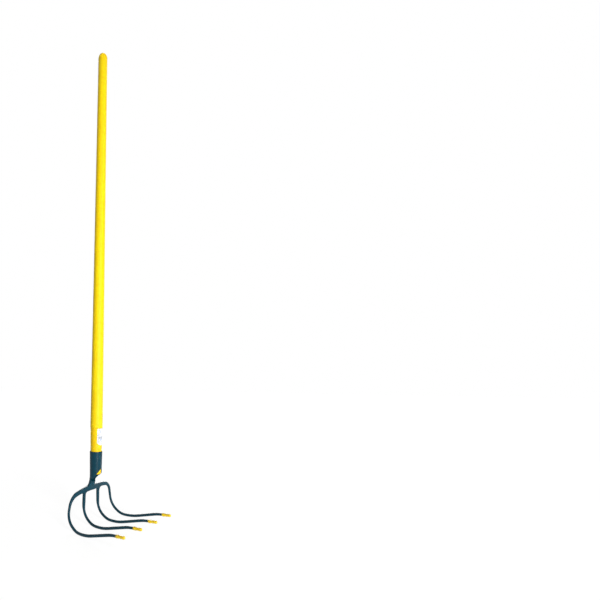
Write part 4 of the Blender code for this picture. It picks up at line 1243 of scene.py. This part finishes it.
class CLAW_OT_nail(bpy.types.Operator):
    """Builds the nail that holds the handle in the socket"""

    bl_idname = "claw.nail"
    bl_label = "Fixing nail"

    def execute(self, context):
        fitting = context.scene.claw_fittings
        seat = socket_outer_radius(fitting.nail_depth) + CLEARANCE
        shank = fitting.nail_shank / 2
        head = fitting.nail_head / 2
        profile = [(0.0, seat + NAIL_RISE)]
        for a in quarter_turn(12, 1):
            profile.append((head * math.sin(a), seat + NAIL_BRIM + (NAIL_RISE - NAIL_BRIM) * math.cos(a)))
        profile += [(head, seat), (shank, seat), (shank, seat - fitting.nail_length + NAIL_TAPER)]
        profile.append((0.0, seat - fitting.nail_length))
        piece = turned("fixing_nail", profile, False)
        for vertex in piece.data.vertices:
            if vertex.co.z > seat:
                vertex.co.z -= NAIL_DENT * (0.5 + 0.5 * noise.noise(vertex.co / NAIL_DENT_WIDTH))
        piece.data.transform(radial_matrix(fitting.nail_angle, fitting.nail_depth))
        smooth(piece.data, 40)
        finish = enamel_on_forged_steel("teal_enamel_on_nail", context.scene.claw_colours)
        dress(piece, "tool", "socket_fixing_nail", finish)
        return {"FINISHED"}


def bead_tree(finish):
    """Geometry nodes that lay overlapping weld beads along a straight line."""
    tree = bpy.data.node_groups.new("weld_beads", "GeometryNodeTree")
    tree.interface.new_socket("Geometry", in_out="OUTPUT", socket_type="NodeSocketGeometry")
    tree.interface.new_socket("Geometry", in_out="INPUT", socket_type="NodeSocketGeometry")
    for name in ("Pitch", "Across", "Along", "Out"):
        tree.interface.new_socket(name, in_out="INPUT", socket_type="NodeSocketFloat")
    given = add(tree, "NodeGroupInput").outputs
    line = add(tree, "GeometryNodeMeshToCurve", {"Mesh": given["Geometry"]})
    inputs = {"Curve": line, "Length": given["Pitch"]}
    places = add(tree, "GeometryNodeResampleCurve", inputs, mode="LENGTH")
    bead = add(tree, "GeometryNodeMeshUVSphere", {"Segments": 28, "Rings": 16, "Radius": 0.5})
    size = add(tree, "ShaderNodeCombineXYZ", (given["Along"], given["Across"], given["Out"]))
    chance = add(tree, "FunctionNodeRandomValue", {"Min": 0.78, "Max": 1.0, "Seed": 4})
    sized = add(tree, "ShaderNodeVectorMath", (size, chance), operation="SCALE")
    inputs = {"Points": places, "Instance": bead, "Scale": sized}
    beads = add(tree, "GeometryNodeInstanceOnPoints", inputs)
    real = add(tree, "GeometryNodeRealizeInstances", {"Geometry": beads})
    painted = add(tree, "GeometryNodeSetMaterial", {"Geometry": real, "Material": finish})
    add(tree, "NodeGroupOutput", {"Geometry": painted})
    return tree


class CLAW_OT_weld(bpy.types.Operator):
    """Lays the overlapping weld beads on the top of the rolled seam"""

    bl_idname = "claw.weld"
    bl_label = "Seam weld"

    def execute(self, context):
        fitting = context.scene.claw_fittings
        finish = enamel_on_forged_steel("teal_enamel_on_weld", context.scene.claw_colours)
        top = WELD_TOP_DEPTH + fitting.weld_width / 2
        foot = WELD_TOP_DEPTH + fitting.weld_length - fitting.weld_width / 2
        lift = CLEARANCE + fitting.weld_height / 2
        top_radius = socket_outer_radius(top) + lift
        foot_radius = socket_outer_radius(foot) + lift
        run = Vector((foot_radius - top_radius, 0.0, top - foot))
        mesh = bpy.data.meshes.new("seam_weld")
        mesh.from_pydata([(0.0, 0.0, 0.0), (run.length, 0.0, 0.0)], [(0, 1)], [])
        piece = add_object("seam_weld", mesh)
        laying = piece.modifiers.new("beads", "NODES")
        laying.node_group = bead_tree(finish)
        values = {
            "Pitch": fitting.weld_pitch,
            "Across": fitting.weld_width,
            "Along": fitting.weld_width * WELD_BEAD_STRETCH,
            "Out": fitting.weld_height,
        }
        for item in laying.node_group.interface.items_tree:
            if item.in_out == "INPUT" and item.name in values:
                laying[item.identifier] = values[item.name]
        apply_modifiers(piece)
        along = run.normalized()
        out = along.cross(Vector((0, 1, 0))).normalized()
        if out.x < 0:
            out = -out
        turn = Matrix((along, out.cross(along), out)).transposed().to_4x4()
        place = Matrix.Translation(at_depth(top_radius, 0.0, top)) @ turn
        piece.data.transform(Matrix.Rotation(SEAM_TURN, 4, "Z") @ place)
        piece.data.update()
        smooth(piece.data, 60)
        dress(piece, "tool", "socket_seam_weld", finish)
        return {"FINISHED"}


class CLAW_OT_label(bpy.types.Operator):
    """Builds the paper label, rounded at its foot and bent round the lower sleeve"""

    bl_idname = "claw.label"
    bl_label = "Label"

    def execute(self, context):
        fitting = context.scene.claw_fittings
        straight = fitting.label_top - fitting.label_bottom - fitting.label_corner
        mesh = bpy.data.meshes.new("label")
        work = bmesh.new()
        bmesh.ops.create_grid(work, x_segments=LABEL_COLUMNS, y_segments=LABEL_ROWS, size=1.0)
        uv_layer = work.loops.layers.uv.new("label_mm")
        flat = {}
        for vertex in work.verts:
            part = (1 - vertex.co.y) / 2
            if part <= 0.5:
                fall = straight * part / 0.5
            else:
                turn = (part - 0.5) / 0.5 * math.pi / 2 * LABEL_FOOT_SHARE
                fall = straight + fitting.label_corner * math.sin(turn)
            half = fitting.label_width / 2
            if fall > straight:
                half = half * math.sqrt(1 - ((fall - straight) / fitting.label_corner) ** 2)
            if fall < LABEL_TOP_CORNER:
                half -= LABEL_TOP_CORNER * (1 - math.sqrt(1 - (1 - fall / LABEL_TOP_CORNER) ** 2))
            rise = fitting.label_top - fall
            radius = sleeve_radius(-rise) + CLEARANCE
            side = vertex.co.x * half
            flat[vertex.index] = (side * 1000, fall * 1000)
            angle = LABEL_TURN + side / radius
            vertex.co = at_depth(radius * math.cos(angle), radius * math.sin(angle), -rise)
        for face in work.faces:
            for loop in face.loops:
                loop[uv_layer].uv = flat[loop.vert.index]
        bmesh.ops.recalc_face_normals(work, faces=work.faces)
        middle = min(work.faces, key=lambda face: abs(face.calc_center_median().y))
        if middle.normal.x < 0:
            bmesh.ops.reverse_faces(work, faces=work.faces)
        work.to_mesh(mesh)
        work.free()
        piece = add_object("label", mesh)
        thicken = piece.modifiers.new("thickness", "SOLIDIFY")
        thicken.thickness = fitting.label_thickness
        thicken.offset = 1.0
        apply_modifiers(piece)
        smooth(piece.data, 40)
        finish = label_paper("printed_label_paper", context.scene.claw_colours)
        dress(piece, "tool", "handle_label", finish)
        return {"FINISHED"}


def floor_paint(colours, own_light):
    """Matt floor paint. To the eye and in reflections it also glows, so that it ends in pure white far
    from the tool and still holds the tool's shade; other rays meet a pale floor with a light of its own."""
    made, tree = with_nodes(bpy.data.materials.new("matt_white_floor"))
    seen = sees_background(tree)
    tone = add(tree, "ShaderNodeBsdfDiffuse", (coloured(tree, colours.floor, (seen, colours.floor_seen)),))
    place = add(tree, "ShaderNodeTexCoord").outputs["Object"]
    gone = add(tree, "ShaderNodeVectorMath", (place,), operation="LENGTH")
    white = add(tree, "ShaderNodeMapRange", (gone, FLOOR_NEAR, FLOOR_FAR, FLOOR_NEAR_WHITE, 1.0))
    strength = add(tree, "ShaderNodeMix", (seen, own_light, white), data_type="FLOAT")
    glow = add(tree, "ShaderNodeEmission", ((1.0, 1.0, 1.0), strength))
    both = add(tree, "ShaderNodeAddShader", (tone, glow))
    add(tree, "ShaderNodeOutputMaterial", (both,))
    return made


def studio_room(light):
    """White room to the eye and in reflections. It lights the tool softly, and less from above."""
    world, tree = with_nodes(bpy.data.worlds.new("studio_room"))
    direction = add(tree, "ShaderNodeTexCoord").outputs["Generated"]
    rise = add(tree, "ShaderNodeSeparateXYZ", (direction,)).outputs["Z"]
    walls = add(tree, "ShaderNodeMapRange", (rise, 0.15, 0.75, light, light * 0.25))
    strength = add(tree, "ShaderNodeMix", (sees_background(tree), walls, 1.0), data_type="FLOAT")
    back = add(tree, "ShaderNodeBackground", ((1.0, 1.0, 1.0), strength))
    add(tree, "ShaderNodeOutputWorld", (back,))
    return world


class CLAW_OT_stage(bpy.types.Operator):
    """Sets up the pale floor, the room, the soft lights and the camera"""

    bl_idname = "claw.stage"
    bl_label = "Studio"

    def execute(self, context):
        scene = context.scene
        stage = scene.claw_stage
        scene.view_settings.view_transform = "Standard"

        mesh = bpy.data.meshes.new("studio_floor")
        corners = [(x * FLOOR_HALF, y * FLOOR_HALF, 0.0) for x, y in ((-1, -1), (1, -1), (1, 1), (-1, 1))]
        mesh.from_pydata(corners, [], [(0, 1, 2, 3)])
        mesh.materials.append(floor_paint(scene.claw_colours, stage.floor_light))
        floor = add_object("studio_floor", mesh)
        floor.location.z = GROUND_Z - FLOOR_GAP
        scene.world = studio_room(stage.sky)

        for name, (power_name, place, target, size) in LAMPS.items():
            light = bpy.data.lights.new(name, "AREA")
            light.shape = "RECTANGLE"
            light.size, light.size_y = size
            light.energy = getattr(stage, power_name)
            lamp = add_object(name, light)
            lamp.location = place
            lamp.rotation_euler = (Vector(target) - Vector(place)).to_track_quat("-Z", "Y").to_euler()

        camera = bpy.data.cameras.new("studio_camera")
        camera.lens = stage.lens
        camera.sensor_width = 36.0
        camera.sensor_fit = "HORIZONTAL"
        camera.shift_x = stage.side_shift
        camera.clip_start = 0.01
        viewer = add_object("studio_camera", camera)
        back_way = Vector(CAMERA_BACK).normalized()
        up = back_way.cross(Vector(CAMERA_RIGHT).normalized()).normalized()
        turn = Matrix((up.cross(back_way), up, back_way)).transposed().to_4x4()
        viewer.matrix_world = Matrix.Translation(stage.camera_place) @ turn
        scene.camera = viewer
        return {"FINISHED"}


class CLAW_PT_panel(bpy.types.Panel):
    """Lists the pieces, sizes and colours of the claw cultivator"""

    bl_label = "Claw cultivator"
    bl_idname = "CLAW_PT_panel"
    bl_space_type = "VIEW_3D"
    bl_region_type = "UI"
    bl_category = "Claw"

    def draw(self, context):
        layout = self.layout
        for operator in OPERATORS:
            layout.operator(operator.bl_idname)
        for name in GROUPS:
            group = getattr(context.scene, name)
            box = layout.box()
            box.label(text=group.bl_rna.description)
            for prop in group.bl_rna.properties:
                if prop.identifier not in ("rna_type", "name"):
                    box.prop(group, prop.identifier)


GROUPS = {
    "claw_head": ClawHeadSizes,
    "claw_handle": ClawHandleSizes,
    "claw_guard": ClawGuardSizes,
    "claw_fittings": ClawFittingSizes,
    "claw_colours": ClawColours,
    "claw_stage": ClawStage,
}
OPERATORS = (
    CLAW_OT_head,
    CLAW_OT_handle,
    CLAW_OT_layers,
    CLAW_OT_guards,
    CLAW_OT_nail,
    CLAW_OT_weld,
    CLAW_OT_label,
    CLAW_OT_stage,
)


def register():
    for made in (*GROUPS.values(), *OPERATORS, CLAW_PT_panel):
        bpy.utils.register_class(made)
    for name, group in GROUPS.items():
        setattr(bpy.types.Scene, name, PointerProperty(type=group))


def unregister():
    for name in GROUPS:
        delattr(bpy.types.Scene, name)
    for made in reversed((*GROUPS.values(), *OPERATORS, CLAW_PT_panel)):
        bpy.utils.unregister_class(made)


def main():
    register()
    bpy.ops.claw.head()
    bpy.ops.claw.handle()
    bpy.ops.claw.layers()
    bpy.ops.claw.guards()
    bpy.ops.claw.nail()
    bpy.ops.claw.weld()
    bpy.ops.claw.label()
    bpy.ops.claw.stage()


if __name__ == "__main__":
    main()
